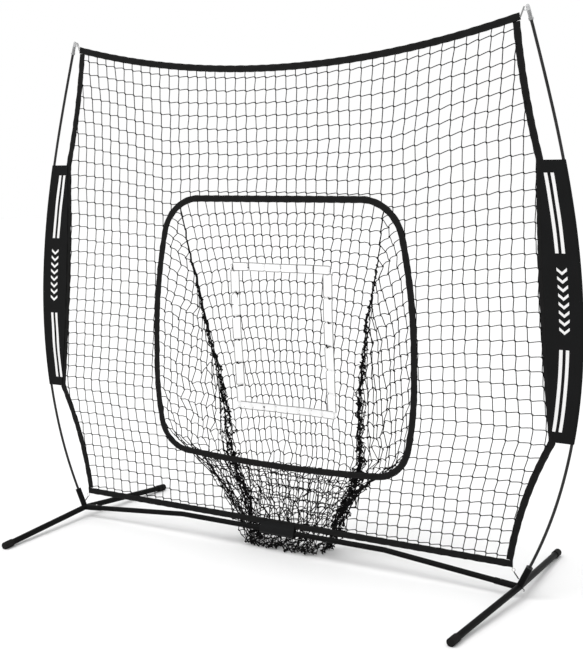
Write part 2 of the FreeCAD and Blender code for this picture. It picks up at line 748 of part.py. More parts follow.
def build_corner_loop(name, side):
    """Loop of cord from the net's top corner round the cap's hook."""
    tip, axis = pole_tip(side)
    radius = size("pole_cap_dia") / 2
    hook_x = tip.x + axis.x * 2 - side * (radius + 9)
    height = tip.z + 11
    wire = size("hook_wire") / 2
    bend = size("hook_wire") / 2 + 0.4 + wire + 0.3
    start_x = side * (size("corner_x") + 0.2)
    root_z = size("top_mid_z") + size("top_sag") - 4
    begin = Vector(start_x, -bend, root_z)
    finish = Vector(start_x, bend, root_z)
    front = Vector(hook_x, -bend, height)
    back = Vector(hook_x, bend, height)
    nose = Vector(hook_x, 0, height) + (front - begin).normalize() * bend
    path = Part.Wire([Part.LineSegment(begin, front).toShape(), Part.Arc(front, nose, back).toShape(),
                      Part.LineSegment(back, finish).toShape()])
    shape_part("corner_loop_" + name, pipe(path, wire))


# How far up the socket from the hub's middle the tie cord is knotted on.
TIE_REACH = 33.0
# The ring hangs just outside and under the border's corner.
RING_OUT, RING_DROP = 3.0, 0.2
# The J hook: its root on the foot, then its way out, down and back in.
HOOK_ROOT = (0.1, -6.0, -2.0)
HOOK_RUNS = ((6.0, 0.0), (4.0, -5.0), (-2.0, -5.0))
HOOK_BEND = 3.0


def build_tie(name, side):
    """Ring under the net's bottom corner, and the elastic cord from it to the socket's foot."""
    ring_radius = size("tie_ring_radius")
    wire = size("tie_ring_wire")
    hang = ring_radius + wire + RING_DROP
    middle = Vector(side * (size("bottom_x") + RING_OUT), 0, size("bottom_z") - hang)
    ring = doc.addObject("Part::Torus", "tie_ring_" + name)
    ring.setExpression("Radius1", "Dimensions.tie_ring_radius")
    ring.setExpression("Radius2", "Dimensions.tie_ring_wire")
    ring.Placement = Placement(middle, Rotation(Vector(1, 0, 0), 90))
    keep(ring, "tie_ring_" + name)

    cord = size("cord_dia") / 2
    target = hub_point(side) + socket_axis(side) * TIE_REACH
    face = target - Vector(side * (size("foot_tube_dia") / 2 + cord) / math.cos(lean), 0, 0)
    start = middle + Vector(side * 1.5, 0, -ring_radius - wire - cord * 0.2)
    direction = (face - start).normalize()
    rod = Part.makeCylinder(cord, (face - start).Length + 4, start, direction)
    socket = Part.makeCylinder(size("foot_tube_dia") / 2 + 0.1, 200, hub_point(side), socket_axis(side))
    shape_part("tie_cord_" + name, rod.cut(socket))
    print("tie cord %s: straight, %.1f mm" % (name, (face - start).Length))


def build_tie_hook(name, side):
    """Open wire hook on the outer side of the foot, under the socket."""
    wire = size("hook_wire") / 2
    gap, along_foot, drop = HOOK_ROOT
    points = [hub_point(side) + Vector(side * (size("foot_tube_dia") / 2 + gap), along_foot, drop)]
    for out, up in HOOK_RUNS:
        points.append(points[-1] + Vector(side * out, 0, up))
    shape_part("tie_hook_" + name, pipe(rounded_path(points, HOOK_BEND), wire))


# ------------------------------------------------------------------------------------------
# Build everything
# ------------------------------------------------------------------------------------------

for side_name, side_sign in SIDES:
    build_foot(side_name, side_sign)
    build_stub(side_name, side_sign)
    build_socket(side_name, side_sign)
    build_bush(side_name, side_sign)
    for cap_name, cap_end in ENDS:
        build_foot_cap(side_name, side_sign, cap_name, cap_end)
    build_bar(side_name, side_sign)
    build_snap_button(side_name, side_sign)
    build_button_clip(side_name, side_sign)
    build_pole(side_name, side_sign)
    build_pole_cap(side_name, side_sign)
    build_corner_loop(side_name, side_sign)
    build_sleeve(side_name, side_sign)
    build_tie(side_name, side_sign)
    build_tie_hook(side_name, side_sign)
build_borders()
build_mouth_ring()
build_net()
build_pocket()
build_strike_zone()
build_wrap()
doc.recompute()

for item in doc.Objects:
    if "Invalid" in item.State or "Error" in item.State:
        raise RuntimeError("failed feature: %s" % item.Label)
for node in nodes:
    if node.Shape.isNull() or not node.Shape.isValid() or not node.Shape.Solids:
        raise RuntimeError("bad shape: %s" % node.Label)

os.makedirs("parts", exist_ok=True)
for node in nodes:
    node.Shape.exportStep("parts/%s.step" % node.Label)
    print("%-24s %d solid(s) %10.0f mm3" % (node.Label, len(node.Shape.Solids), node.Shape.Volume))
print(len(nodes), "nodes")
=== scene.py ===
"""Free-standing pitching target net: its netting, webbing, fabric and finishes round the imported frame.

Lengths are metres, +Z up, +X along the net's width, +Y towards the pocket at the back.
"""

import json
import logging
import math
from dataclasses import dataclass, field
from enum import Enum
from typing import Callable, Sequence, Union

import bpy
import numpy as np
from mathutils import Matrix, Vector, noise


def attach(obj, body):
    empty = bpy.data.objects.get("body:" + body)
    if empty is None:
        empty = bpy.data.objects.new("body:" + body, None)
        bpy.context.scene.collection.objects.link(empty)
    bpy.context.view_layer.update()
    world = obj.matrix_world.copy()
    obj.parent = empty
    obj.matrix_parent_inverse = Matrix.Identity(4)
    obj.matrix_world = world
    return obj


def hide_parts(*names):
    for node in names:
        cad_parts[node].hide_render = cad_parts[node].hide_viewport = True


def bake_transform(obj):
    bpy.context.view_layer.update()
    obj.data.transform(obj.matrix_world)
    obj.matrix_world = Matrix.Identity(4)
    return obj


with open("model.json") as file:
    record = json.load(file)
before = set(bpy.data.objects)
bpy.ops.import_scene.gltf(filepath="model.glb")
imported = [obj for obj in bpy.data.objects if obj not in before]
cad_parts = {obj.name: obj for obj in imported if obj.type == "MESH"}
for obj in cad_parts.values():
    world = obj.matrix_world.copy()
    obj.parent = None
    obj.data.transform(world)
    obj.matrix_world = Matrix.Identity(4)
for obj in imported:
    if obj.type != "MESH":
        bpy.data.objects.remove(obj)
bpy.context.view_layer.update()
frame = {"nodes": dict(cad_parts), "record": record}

logging.basicConfig(level=logging.INFO, format="%(message)s")
log = logging.getLogger("target_net")

Place = Callable[[np.ndarray, np.ndarray], np.ndarray]
TURN = 2 * math.pi
NOISE_SEED = 7
CLOTH_LAYER = "cloth"


class Side(Enum):
    """The two ends of the net, by the sign of X."""

    LEFT = -1
    RIGHT = 1

    @property
    def word(self) -> str:
        """The side's word in node names."""
        return self.name.lower()


class Body(str, Enum):
    """The frame's bodies that new pieces ride on."""

    FRAME = "frame"
    POCKET = "pocket"
    FLAP = "wrap_flap"


class Slot(str, Enum):
    """The record's material slots that new pieces take their finish from."""

    NETTING = "black_netting"
    WEBBING = "black_webbing"
    STRAP = "white_webbing"
    OXFORD = "black_oxford_fabric"
    WRAP = "black_hook_and_loop"
    GREY_CORD = "grey_cord"
    ELASTIC = "black_elastic"


# ----------------------------------------------------------------------------------------------
# Shader graphs
# ----------------------------------------------------------------------------------------------

Value = Union["Signal", float, tuple]


class Signal:
    """One output socket of a shader graph, with arithmetic that adds the Math nodes."""

    def __init__(self, graph: "Graph", socket: bpy.types.NodeSocket) -> None:
        """Wrap one socket of a graph."""
        self.graph = graph
        self.socket = socket

    def __add__(self, other: Value) -> "Signal":
        """Sum."""
        return self.graph.math("ADD", self, other)

    __radd__ = __add__

    def __mul__(self, other: Value) -> "Signal":
        """Product."""
        return self.graph.math("MULTIPLY", self, other)

    __rmul__ = __mul__

    def __sub__(self, other: Value) -> "Signal":
        """Difference."""
        return self.graph.math("SUBTRACT", self, other)

    def __rsub__(self, other: Value) -> "Signal":
        """Difference from a plain value."""
        return self.graph.math("SUBTRACT", other, self)

    def __lt__(self, other: Value) -> "Signal":
        """1 where this is less than the other."""
        return self.graph.math("LESS_THAN", self, other)

    def __gt__(self, other: Value) -> "Signal":
        """1 where this is more than the other."""
        return self.graph.math("GREATER_THAN", self, other)

    def __abs__(self) -> "Signal":
        """Size without its sign."""
        return self.graph.math("ABSOLUTE", self)

    def sin(self) -> "Signal":
        """Sine of an angle in radians."""
        return self.graph.math("SINE", self)

    def wrap(self, length: float) -> "Signal":
        """The remainder in repeats of one length, from 0 to that length."""
        return self.graph.math("FLOORED_MODULO", self, length)


class Graph:
    """A material's node tree while it is put together."""

    def __init__(self, name: str) -> None:
        """Start a material with one Principled shader.

        Args:
            name: The material's name.
        """
        self.material = bpy.data.materials.new(name)
        self.material.use_nodes = True
        self.tree = self.material.node_tree
        self.surface = self.tree.nodes["Principled BSDF"]

    def put(self, socket: bpy.types.NodeSocket, value: Value) -> None:
        """Link a signal to a socket, or set a plain value on it.

        Args:
            socket: The socket.
            value: The value or signal.
        """
        if isinstance(value, Signal):
            self.tree.links.new(value.socket, socket)
        else:
            socket.default_value = value

    def node(self, kind: str, settings: dict, inputs: dict, output: Union[int, str] = 0) -> Signal:
        """Add any node.

        Args:
            kind: The node's type, such as ShaderNodeTexNoise.
            settings: Its own settings; "stops" are a ramp's (place, colour) pairs.
            inputs: Values or signals by socket name or number.
            output: The output that is wanted.

        Returns:
            The wanted output as a signal.
        """
        made = self.tree.nodes.new(kind)
        for key, value in settings.items():
            if key == "stops":
                for index, (place, colour) in enumerate(value):
                    ramp = made.color_ramp.elements
                    stop = ramp[index] if index < 2 else ramp.new(place)
                    stop.position, stop.color = place, colour
            else:
                setattr(made, key, value)
        for key, value in inputs.items():
            self.put(made.inputs[key], value)
        return Signal(self, made.outputs[output])

    def math(self, operation: str, *values: Value) -> Signal:
        """Add one Math node."""
        return self.node("ShaderNodeMath", {"operation": operation}, dict(enumerate(values)))

    def noise(self, where: Signal, scale: float, detail: float = 2.0) -> Signal:
        """Soft noise from 0 to 1."""
        return self.node("ShaderNodeTexNoise", {}, {"Vector": where, "Scale": scale, "Detail": detail})

    def stretched(self, where: Signal, scale: Sequence[float]) -> Signal:
        """Coordinates scaled by a different amount along each axis."""
        return self.node("ShaderNodeMapping", {}, {"Vector": where, "Scale": tuple(scale)})

    def points(self) -> Signal:
        """Object coordinates."""
        return self.node("ShaderNodeTexCoord", {}, {}, "Object")

    def cloth(self) -> tuple[Signal, Signal]:
        """The piece's own cloth coordinates in metres: along, across.

        Returns:
            The two coordinates.
        """
        layer = self.node("ShaderNodeUVMap", {"uv_map": CLOTH_LAYER}, {})
        kind = "ShaderNodeSeparateXYZ"
        return self.node(kind, {}, {0: layer}, "X"), self.node(kind, {}, {0: layer}, "Y")

    def axis(self, where: Signal, letter: str) -> Signal:
        """One coordinate of a vector."""
        return self.node("ShaderNodeSeparateXYZ", {}, {0: where}, letter)

    def blend(self, factor: Value, low: Value, high: Value) -> Signal:
        """A colour between two."""
        settings = {"data_type": "RGBA", "blend_type": "MIX"}
        return self.node("ShaderNodeMix", settings, {0: factor, 6: low, 7: high}, 2)

    def relief(self, height: Value, depth: float, strength: float = 1.0) -> None:
        """Bump the surface by a height from 0 to 1 that stands for a depth in metres."""
        inputs = {"Height": height, "Distance": depth, "Strength": strength}
        self.put(self.surface.inputs["Normal"], self.node("ShaderNodeBump", {}, inputs))

    def finish(self, colour: Value, rough: Value, **constants: Value) -> bpy.types.Material:
        """Set the shader's colour, roughness and plain constants.

        Args:
            colour: Base colour.
            rough: Roughness.
            **constants: Other sockets, by name with underscores for spaces.

        Returns:
            The finished material.
        """
        self.put(self.surface.inputs["Base Color"], colour)
        self.put(self.surface.inputs["Roughness"], rough)
        for key, value in constants.items():
            self.put(self.surface.inputs[key.replace("_", " ")], value)
        return self.material


def grey(level: float, warm: float = 0.0) -> tuple[float, float, float, float]:
    """A grey, a little warm or cool, as a colour."""
    return (level * (1 + warm), level, level * (1 - warm), 1.0)


@dataclass(frozen=True)
class PowderCoat:
    """Black powder coat on steel tube, with orange peel and faint scuffs."""

    name: str = "black_powder_coat"
    level: float = 0.004

    def material(self) -> bpy.types.Material:
        """Build the material.

        Returns:
            The material.
        """
        graph = Graph(self.name)
        where = graph.points()
        peel = graph.noise(where, 620.0, 1.0)
        cloud = graph.noise(where, 9.0, 4.0)
        scuff = graph.noise(graph.stretched(where, (60.0, 24.0, 160.0)), 1.0, 5.0) > 0.69
        colour = graph.blend(cloud, grey(self.level), grey(self.level * 1.8))
        colour = graph.blend(scuff * 0.4, colour, grey(0.018))
        graph.relief(peel, 0.00035, 0.35)
        return graph.finish(colour, 0.34 + cloud * 0.14 + scuff * 0.18, Specular_IOR_Level=0.03)


@dataclass(frozen=True)
class Rubber:
    """Dull moulded rubber, dusty where it is handled."""

    name: str = "black_rubber"
    level: float = 0.005

    def material(self) -> bpy.types.Material:
        """Build the material.

        Returns:
            The material.
        """
        graph = Graph(self.name)
        where = graph.points()
        grain = graph.noise(where, 900.0, 3.0)
        dust = graph.noise(where, 26.0, 5.0)
        graph.relief(grain, 0.0004, 0.5)
        colour = graph.blend(dust, grey(self.level), grey(self.level * 2.6, 0.04))
        return graph.finish(colour, 0.62 + dust * 0.22, Specular_IOR_Level=0.08)


@dataclass(frozen=True)
class MouldedPlastic:
    """Black moulded plastic with a fine spark-eroded grain."""

    name: str = "black_plastic"
    level: float = 0.02

    def material(self) -> bpy.types.Material:
        """Build the material.

        Returns:
            The material.
        """
        graph = Graph(self.name)
        where = graph.points()
        grain = graph.noise(where, 1500.0, 2.0)
        cloud = graph.noise(where, 40.0, 3.0)
        graph.relief(grain, 0.0002, 0.6)
        return graph.finish(graph.blend(cloud, grey(self.level), grey(self.level * 1.5)), 0.42 + grain * 0.16,
                            Specular_IOR_Level=0.14)


@dataclass(frozen=True)
class BareSteel:
    """Plated or bare steel with fine drawn lines and a little tarnish."""

    name: str
    level: float = 0.62
    rough: float = 0.2

    def material(self) -> bpy.types.Material:
        """Build the material.

        Returns:
            The material.
        """
        graph = Graph(self.name)
        where = graph.points()
        lines = graph.noise(graph.stretched(where, (90.0, 90.0, 2400.0)), 1.0, 3.0)
        stain = graph.noise(where, 120.0, 4.0)
        colour = graph.blend(stain, grey(self.level), grey(self.level * 0.72, 0.03))
        graph.relief(lines, 0.00008, 0.4)
        return graph.finish(colour, self.rough + lines * 0.16, Metallic=1.0)


@dataclass(frozen=True)
class Fibreglass:
    """Black pultruded fibreglass: glossy, with fine lengthways fibres."""

    name: str = "black_fibreglass"

    def material(self) -> bpy.types.Material:
        """Build the material.

        Returns:
            The material.
        """
        graph = Graph(self.name)
        where = graph.points()
        fibres = graph.noise(graph.stretched(where, (1400.0, 1400.0, 12.0)), 1.0, 3.0)
        patch = graph.noise(where, 14.0, 3.0)
        colour = graph.blend(fibres * patch, grey(0.01), grey(0.045))
        graph.relief(fibres, 0.00012, 0.4)
        return graph.finish(colour, 0.2 + fibres * 0.18, Specular_IOR_Level=0.14)


@dataclass(frozen=True)
class ClearPlastic:
    """Clear moulded plastic with flow marks, a little milky."""

    name: str = "clear_plastic"

    def material(self) -> bpy.types.Material:
        """Build the material.

        Returns:
            The material.
        """
        graph = Graph(self.name)
        where = graph.points()
        flow = graph.noise(graph.stretched(where, (180.0, 180.0, 40.0)), 1.0, 3.0)
        graph.relief(flow, 0.0003, 0.3)
        colour = graph.blend(flow, grey(0.50, -0.02), grey(0.66))
        return graph.finish(colour, 0.1 + flow * 0.12, Transmission_Weight=0.7, IOR=1.47)


@dataclass(frozen=True)
class BraidedCord:
    """Braided cord: two crossing sets of slanting strands."""

    name: str
    low: float
    high: float

    def material(self) -> bpy.types.Material:
        """Build the material.

        Returns:
            The material.
        """
        graph = Graph(self.name)
        where = graph.points()
        x, y, z = (graph.axis(where, letter) for letter in "XYZ")
        pitch = TURN / 0.0022
        strands = ((x + y + z) * pitch).sin() * ((x - y + z) * pitch).sin()
        height = strands * 0.5 + 0.5
        fuzz = graph.noise(where, 2600.0, 2.0)
        graph.relief(height * 0.8 + fuzz * 0.2, 0.0005, 0.8)
        return graph.finish(graph.blend(height, grey(self.low), grey(self.high)), 0.75 + fuzz * 0.2,
                            Specular_IOR_Level=0.2)


@dataclass(frozen=True)
class KnottedTwine:
    """Black polyester twine, twisted, with a dull sheen and slightly faded strands."""

    name: str = "black_netting"

    def material(self) -> bpy.types.Material:
        """Build the material.

        Returns:
            The material.
        """
        graph = Graph(self.name)
        where = graph.points()
        x, y, z = (graph.axis(where, letter) for letter in "XYZ")
        twist = ((x + y * 1.3 + z) * (TURN / 0.0026)).sin() * 0.5 + 0.5
        fade = graph.noise(where, 18.0, 3.0)
        fuzz = graph.noise(where, 1800.0, 2.0)
        colour = graph.blend(fade * twist, grey(0.003), grey(0.012))
        graph.relief(twist * 0.7 + fuzz * 0.3, 0.0003, 0.7)
        return graph.finish(colour, 0.66 + fuzz * 0.24, Specular_IOR_Level=0.05)


@dataclass(frozen=True)
class WovenWebbing:
    """Woven tape with ribs across it, painted shade darkening both edges, and two rows of lockstitch."""

    name: str
    width: float
    low: float
    high: float
    thread: float
    rib: float = 0.0019
    stitch: float = 0.0042
    inset: float = 0.0035
    soil: float = 0.25
    # Painted shade along both edges: the width of each dark band, and how strongly rim darkens it.
    edge_shade_width: float = 0.0022
    rim: float = 0.5

    def material(self) -> bpy.types.Material:
        """Build the material.

        Returns:
            The material.
        """
        graph = Graph(self.name)
        along, across = graph.cloth()
        where = graph.points()
        ribs = (along * (TURN / self.rib)).sin() * 0.5 + 0.5
        wales = (across * (TURN / (self.rib * 0.8)) + ribs * 1.4).sin() * 0.5 + 0.5
        row = abs(across - self.inset) < 0.0007
        far_row = abs(across - (self.width - self.inset)) < 0.0007
        dash = along.wrap(self.stitch) < self.stitch * 0.7
        stitches = (row + far_row) * dash
        # Painted shade: a darker band along each edge of the tape.
        rim = (across < self.edge_shade_width) + (across > self.width - self.edge_shade_width)
        cloud = graph.noise(where, 12.0, 4.0)
        weave = ribs * 0.55 + wales * 0.45
        colour = graph.blend(weave, grey(self.low), grey(self.high))
        colour = graph.blend(cloud * self.soil, colour, grey((self.low + self.high) * 0.35, 0.05))
        colour = graph.blend(stitches * 0.8, colour, grey(self.thread))
        # The edge bands are darkened here as painted shade.
        colour = graph.blend(rim * self.rim, colour, grey(self.low * 0.30))
        graph.relief(weave * 0.6 + stitches * 0.5, 0.00045, 0.8)
        return graph.finish(colour, 0.7 + cloud * 0.16, Specular_IOR_Level=0.06)


@dataclass(frozen=True)
class PrintedOxford:
    """Black oxford cloth with two printed stripes above and below a plain row of chevrons."""

    name: str = "black_oxford_fabric"
    stripes: tuple = ((0.080, 0.0062), (0.056, 0.0062))
    runs: tuple = ((0.045, 0.325), (0.665, 0.960))
    mark: tuple = (0.375, 0.615)
    mark_half: float = 0.019
    mark_pitch: float = 0.030
    mark_stroke: float = 0.011
    thread: float = 0.0009

    def bar(self, value: Signal, middle: float, half: float) -> Signal:
        """1 within half of a middle value."""
        return abs(value - middle) < half

    def print_mask(self, graph: Graph, down: Signal, inward: Signal) -> Signal:
        """1 where the white ink is.

        Args:
            graph: The material's graph.
            down: Distance down the sleeve from its top hem.
            inward: Distance in from the pole's outer side, on the front only.

        Returns:
            The mask.
        """
        lanes = self.bar(inward, *self.stripes[0]) + self.bar(inward, *self.stripes[1])
        lengths = [self.bar(down, (high + low) / 2, (low - high) / 2) for high, low in self.runs]
        middle = (self.stripes[0][0] + self.stripes[1][0]) / 2
        slant = (down + abs(inward - middle) * 0.8).wrap(self.mark_pitch) < self.mark_stroke
        high, low = self.mark
        chevrons = slant * self.bar(inward, middle, self.mark_half)
        chevrons = chevrons * self.bar(down, (high + low) / 2, (low - high) / 2)
        return lanes * (lengths[0] + lengths[1]) + chevrons

    def material(self) -> bpy.types.Material:
        """Build the material.

        Returns:
            The material.
        """
        graph = Graph(self.name)
        down, inward = graph.cloth()
        where = graph.points()
        warp = (down * (TURN / self.thread)).sin()
        weft = (inward * (TURN / self.thread)).sin()
        weave = warp * weft * 0.5 + 0.5
        cloud = graph.noise(where, 10.0, 4.0)
        crumple = graph.noise(graph.stretched(where, (30.0, 30.0, 16.0)), 1.0, 5.0)
        base = graph.blend(cloud * 0.6 + weave * 0.4, grey(0.003), grey(0.009, -0.03))
        ink = self.print_mask(graph, down, inward)
        white = graph.blend(weave * 0.5 + cloud * 0.3, grey(0.82), grey(0.62, 0.02))
        graph.relief(weave * 0.25 + crumple, 0.0011, 0.45)
        colour = graph.blend(ink, base, white)
        return graph.finish(colour, 0.62 - ink * 0.18 + cloud * 0.14, Specular_IOR_Level=0.08)


@dataclass(frozen=True)
class HookAndLoop:
    """Brushed loop cloth with a hem, for the closing wrap."""

    name: str = "black_hook_and_loop"

    def material(self) -> bpy.types.Material:
        """Build the material.

        Returns:
            The material.
        """
        graph = Graph(self.name)
        along, across = graph.cloth()
        where = graph.points()
        loops = graph.noise(graph.stretched(where, (700.0, 700.0, 420.0)), 1.0, 4.0)
        lines = (across * (TURN / 0.0032)).sin() * 0.5 + 0.5
        dash = along.wrap(0.004) < 0.0028
        hem = (abs(across - 0.004) < 0.0007) * dash
        cloud = graph.noise(where, 30.0, 3.0)
        colour = graph.blend(loops * 0.6 + cloud * 0.4, grey(0.003), grey(0.014, -0.04))
        colour = graph.blend(hem * 0.8, colour, grey(0.05))
        graph.relief(loops * 0.7 + lines * 0.3, 0.0008, 0.7)
        return graph.finish(colour, 0.82 + cloud * 0.12, Specular_IOR_Level=0.1)


# ----------------------------------------------------------------------------------------------
# Lines: arcs, poles, borders and the mouth
# ----------------------------------------------------------------------------------------------

def arc_through(first: Sequence[float], middle: Sequence[float], last: Sequence[float],
                count: int) -> np.ndarray:
    """Points along the arc through three flat points.

    Args:
        first: Where it starts.
        middle: A point on it.
        last: Where it ends.
        count: How many points, ends included.

    Returns:
        (count, 2) points.
    """
    a, b, c = (np.array(p, float) for p in (first, middle, last))
    twice = 2 * np.array([b - a, c - a])
    centre = np.linalg.solve(twice, [b @ b - a @ a, c @ c - a @ a])
    angles = [math.atan2(*(p - centre)[::-1]) for p in (a, b, c)]
    sweep = (angles[2] - angles[0]) % TURN
    if (angles[1] - angles[0]) % TURN > sweep:
        sweep -= TURN
    turn = angles[0] + np.linspace(0, sweep, count)
    return centre + np.linalg.norm(a - centre) * np.column_stack([np.cos(turn), np.sin(turn)])


def even(line: np.ndarray, count: int) -> np.ndarray:
    """The same line with evenly spaced points.

    Args:
        line: The points of the line, one per row.
        count: How many points.

    Returns:
        The new points.
    """
    steps = np.linalg.norm(np.diff(line, axis=0), axis=1)
    travelled = np.concatenate([[0], np.cumsum(steps)])
    wanted = np.linspace(0, travelled[-1], count)
    return np.column_stack([np.interp(wanted, travelled, line[:, k]) for k in range(line.shape[1])])


def length_of(line: np.ndarray) -> float:
    """Length of a line of points."""
    return float(np.linalg.norm(np.diff(line, axis=0), axis=1).sum())


def shifted(line: np.ndarray, offset: float) -> np.ndarray:
    """A flat line moved sideways by an offset, to its right as it runs.

    Args:
        line: The points of the line, one per row.
        offset: How far sideways, in metres.

    Returns:
        The moved line.
    """
    ahead = np.gradient(line, axis=0)
    ahead /= np.linalg.norm(ahead, axis=1)[:, None]
    return line + offset * np.column_stack([ahead[:, 1], -ahead[:, 0]])


@dataclass(frozen=True)
class Layout:
    """The flat outlines that netting, webbing and fabric share, as (x, z) lines."""

    webbing: float = 0.027
    corner_x: float = 1.004
    top_mid_z: float = 1.971
    top_sag: float = 0.125
    bottom_z: float = 0.112
    bottom_x: float = 1.0195
    side_stops: tuple = ((1.033, 1.815), (1.086, 1.600), (1.111, 1.100), (1.157, 0.600), (1.060, 0.370))
    sleeve_top: float = 1.600
    sleeve_bottom: float = 0.600
    # The mouth's right half from the middle of its top edge; arcs run through every other stop.
    mouth_stops: tuple = ((0.395, 1.457), (0.499, 1.413), (0.555, 1.325), (0.595, 1.095), (0.611, 0.800),
                          (0.609, 0.650), (0.590, 0.505), (0.550, 0.425), (0.465, 0.382), (0.240, 0.370),
                          (0.0, 0.366))
    line_points: int = 61

    @property
    def band(self) -> float:
        """Half the webbing's width."""
        return self.webbing / 2

    def top_height(self, x: np.ndarray, offset: float) -> np.ndarray:
        """Height of the sagging top border at x, offset up from its centre line."""
        radius = (self.corner_x ** 2 + self.top_sag ** 2) / (2 * self.top_sag)
        return self.top_mid_z + radius - np.sqrt((radius - offset) ** 2 - np.square(x))

    def top(self, offset: float) -> np.ndarray:
        """The top border from left to right.

        Args:
            offset: How far sideways, in metres.

        Returns:
            Its (x, z) points.
        """
        half = self.corner_x - (0.0 if offset == 0 else self.band)
        x = np.linspace(-half, half, 2 * self.line_points)
        return np.column_stack([x, self.top_height(x, offset)])

    def bottom(self, offset: float) -> np.ndarray:
        """The bottom border from left to right."""
        x = np.linspace(-self.bottom_x, self.bottom_x, 2 * self.line_points)
        return np.column_stack([x, np.full_like(x, self.bottom_z + self.band + offset)])

    def side(self, side: Side, offset: float) -> np.ndarray:
        """One side border from its top down, offset outward from its centre line.

        Args:
            side: Left or right.
            offset: How far sideways, in metres.

        Returns:
            Its (x, z) points.
        """
        corner = self.corner_x - self.band
        foot = self.bottom_x - self.band
        stops = [(corner, float(self.top_height(corner, -self.band))), *self.side_stops,
                 (foot, self.bottom_z + self.webbing)]
        arcs = [arc_through(*stops[first:first + 3], self.line_points) for first in (0, 2, 4)]
        line = even(np.vstack([arcs[0], arcs[1][1:], arcs[2][1:]]), 3 * self.line_points)
        line[:, 0] += offset
        return line * np.array([side.value, 1.0])

    def mouth(self) -> np.ndarray:
        """The mouth ring's centre line, closed, clockwise from the middle of its top edge.

        Returns:
            Its (x, z) points.
        """
        stops = self.mouth_stops
        starts = range(0, len(stops) - 1, 2)
        arcs = [arc_through(*stops[first:first + 3], self.line_points) for first in starts]
        right = np.vstack([[(0.0, stops[0][1])], *arcs])
        left = right[::-1] * np.array([-1.0, 1.0])
        return smoothed(even(np.vstack([right, left[1:]]), 8 * self.line_points), 1)


LAYOUT = Layout()


@dataclass(frozen=True)
class PoleLine:
    """The bowed pole's centre line, from the socket up."""

    hub: tuple = (1.045, 0.0425)
    lean: float = 25.5
    socket: float = 0.088
    length: float = 2.040
    turn: float = 42.0
    power: float = 1.8
    shares: tuple = (0.0, 0.16, 0.32, 0.49, 0.66, 0.83, 1.0)
    steps: int = 400

    def line(self) -> np.ndarray:
        """(x, z) points up the right-hand pole.

        Returns:
            The (x, z) points.
        """
        share = np.linspace(0, 1, self.steps + 1)
        stops = np.array(self.shares)
        turned = self.turn * (1 - (1 - stops) ** self.power)
        heading = np.radians(np.interp((share[1:] + share[:-1]) / 2, stops, self.lean - turned))
        step = self.length / self.steps
        runs = step * np.column_stack([np.sin(heading), np.cos(heading)])
        lean = math.radians(self.lean)
        start = np.array(self.hub) + self.socket * np.array([math.sin(lean), math.cos(lean)])
        return np.vstack([[start], start + np.cumsum(runs, axis=0)])

    def x_at(self, z: np.ndarray) -> np.ndarray:
        """How far out the pole is at a height."""
        line = self.line()
        return np.interp(z, line[:, 1], line[:, 0])


# ----------------------------------------------------------------------------------------------
# Modelling helpers
# ----------------------------------------------------------------------------------------------

def deselect() -> None:
    """Leave nothing selected and no object in edit mode."""
    if bpy.context.object is not None and bpy.context.object.mode != "OBJECT":
        bpy.ops.object.mode_set(mode="OBJECT")
    bpy.ops.object.select_all(action="DESELECT")


def pick(piece: bpy.types.Object) -> None:
    """Select one object alone and make it active.

    Args:
        piece: The object to work on.
    """
    deselect()
    piece.select_set(True)
    bpy.context.view_layer.objects.active = piece


def weld(piece: bpy.types.Object, reach: float = 0.00001) -> None:
    """Merge points that lie on each other.

    Args:
        piece: The object to work on.
        reach: How near points are to be merged.
    """
    pick(piece)
    bpy.ops.object.mode_set(mode="EDIT")
    bpy.ops.mesh.select_all(action="SELECT")
    bpy.ops.mesh.remove_doubles(threshold=reach)
    bpy.ops.object.mode_set(mode="OBJECT")


def modify(piece: bpy.types.Object, kind: str, **settings: Union[float, int, str, bool]) -> None:
    """Add one modifier, set it up and apply it.

    Args:
        piece: The object to work on.
        kind: The modifier's type.
        **settings: Its settings by name.
    """
    pick(piece)
    modifier = piece.modifiers.new(kind.lower(), kind)
    for key, value in settings.items():
        setattr(modifier, key, value)
    bpy.ops.object.modifier_apply(modifier=modifier.name)


def smooth(piece: bpy.types.Object, degrees: float = 50.0) -> None:
    """Shade a piece smooth, sharp where it turns by more than an angle."""
    pick(piece)
    bpy.ops.object.shade_smooth_by_angle(angle=math.radians(degrees))


def cloth_piece(name: str, cells: tuple[int, int], place: Place, measure: Place, sheet: float,
                edge: float = 0.0) -> bpy.types.Object:
    """A piece of cloth or tape, made from a grid whose points are placed by a function.

    Args:
        name: The piece's name.
        cells: How many cells along and across.
        place: Gives (n, 3) places for shares along and across, from 0 to 1.
        measure: Gives (n, 2) cloth coordinates in metres for the same shares.
        sheet: The cloth's thickness.
        edge: Radius of its rounded edges.

    Returns:
        The finished piece.
    """
    deselect()
    bpy.ops.mesh.primitive_grid_add(x_subdivisions=cells[0], y_subdivisions=cells[1], size=1.0)
    piece = bpy.context.object
    piece.name = piece.data.name = name
    mesh = piece.data
    flat = np.empty(len(mesh.vertices) * 3)
    mesh.vertices.foreach_get("co", flat)
    shares = flat.reshape(-1, 3)[:, :2] + 0.5
    mesh.vertices.foreach_set("co", place(shares[:, 0], shares[:, 1]).ravel())
    corner = np.empty(len(mesh.loops), int)
    mesh.loops.foreach_get("vertex_index", corner)
    layer = mesh.uv_layers[0]
    layer.name = CLOTH_LAYER
    layer.data.foreach_set("uv", measure(shares[:, 0], shares[:, 1])[corner].ravel())
    mesh.update()
    weld(piece)
    modify(piece, "SOLIDIFY", thickness=sheet, offset=0.0, use_even_offset=True)
    if edge > 0:
        modify(piece, "BEVEL", width=edge, segments=2, limit_method="ANGLE", angle_limit=math.radians(60))
    smooth(piece)
    return piece


def dress(piece: bpy.types.Object, material: bpy.types.Material) -> None:
    """Give a piece one material."""
    piece.data.materials.clear()
    piece.data.materials.append(material)


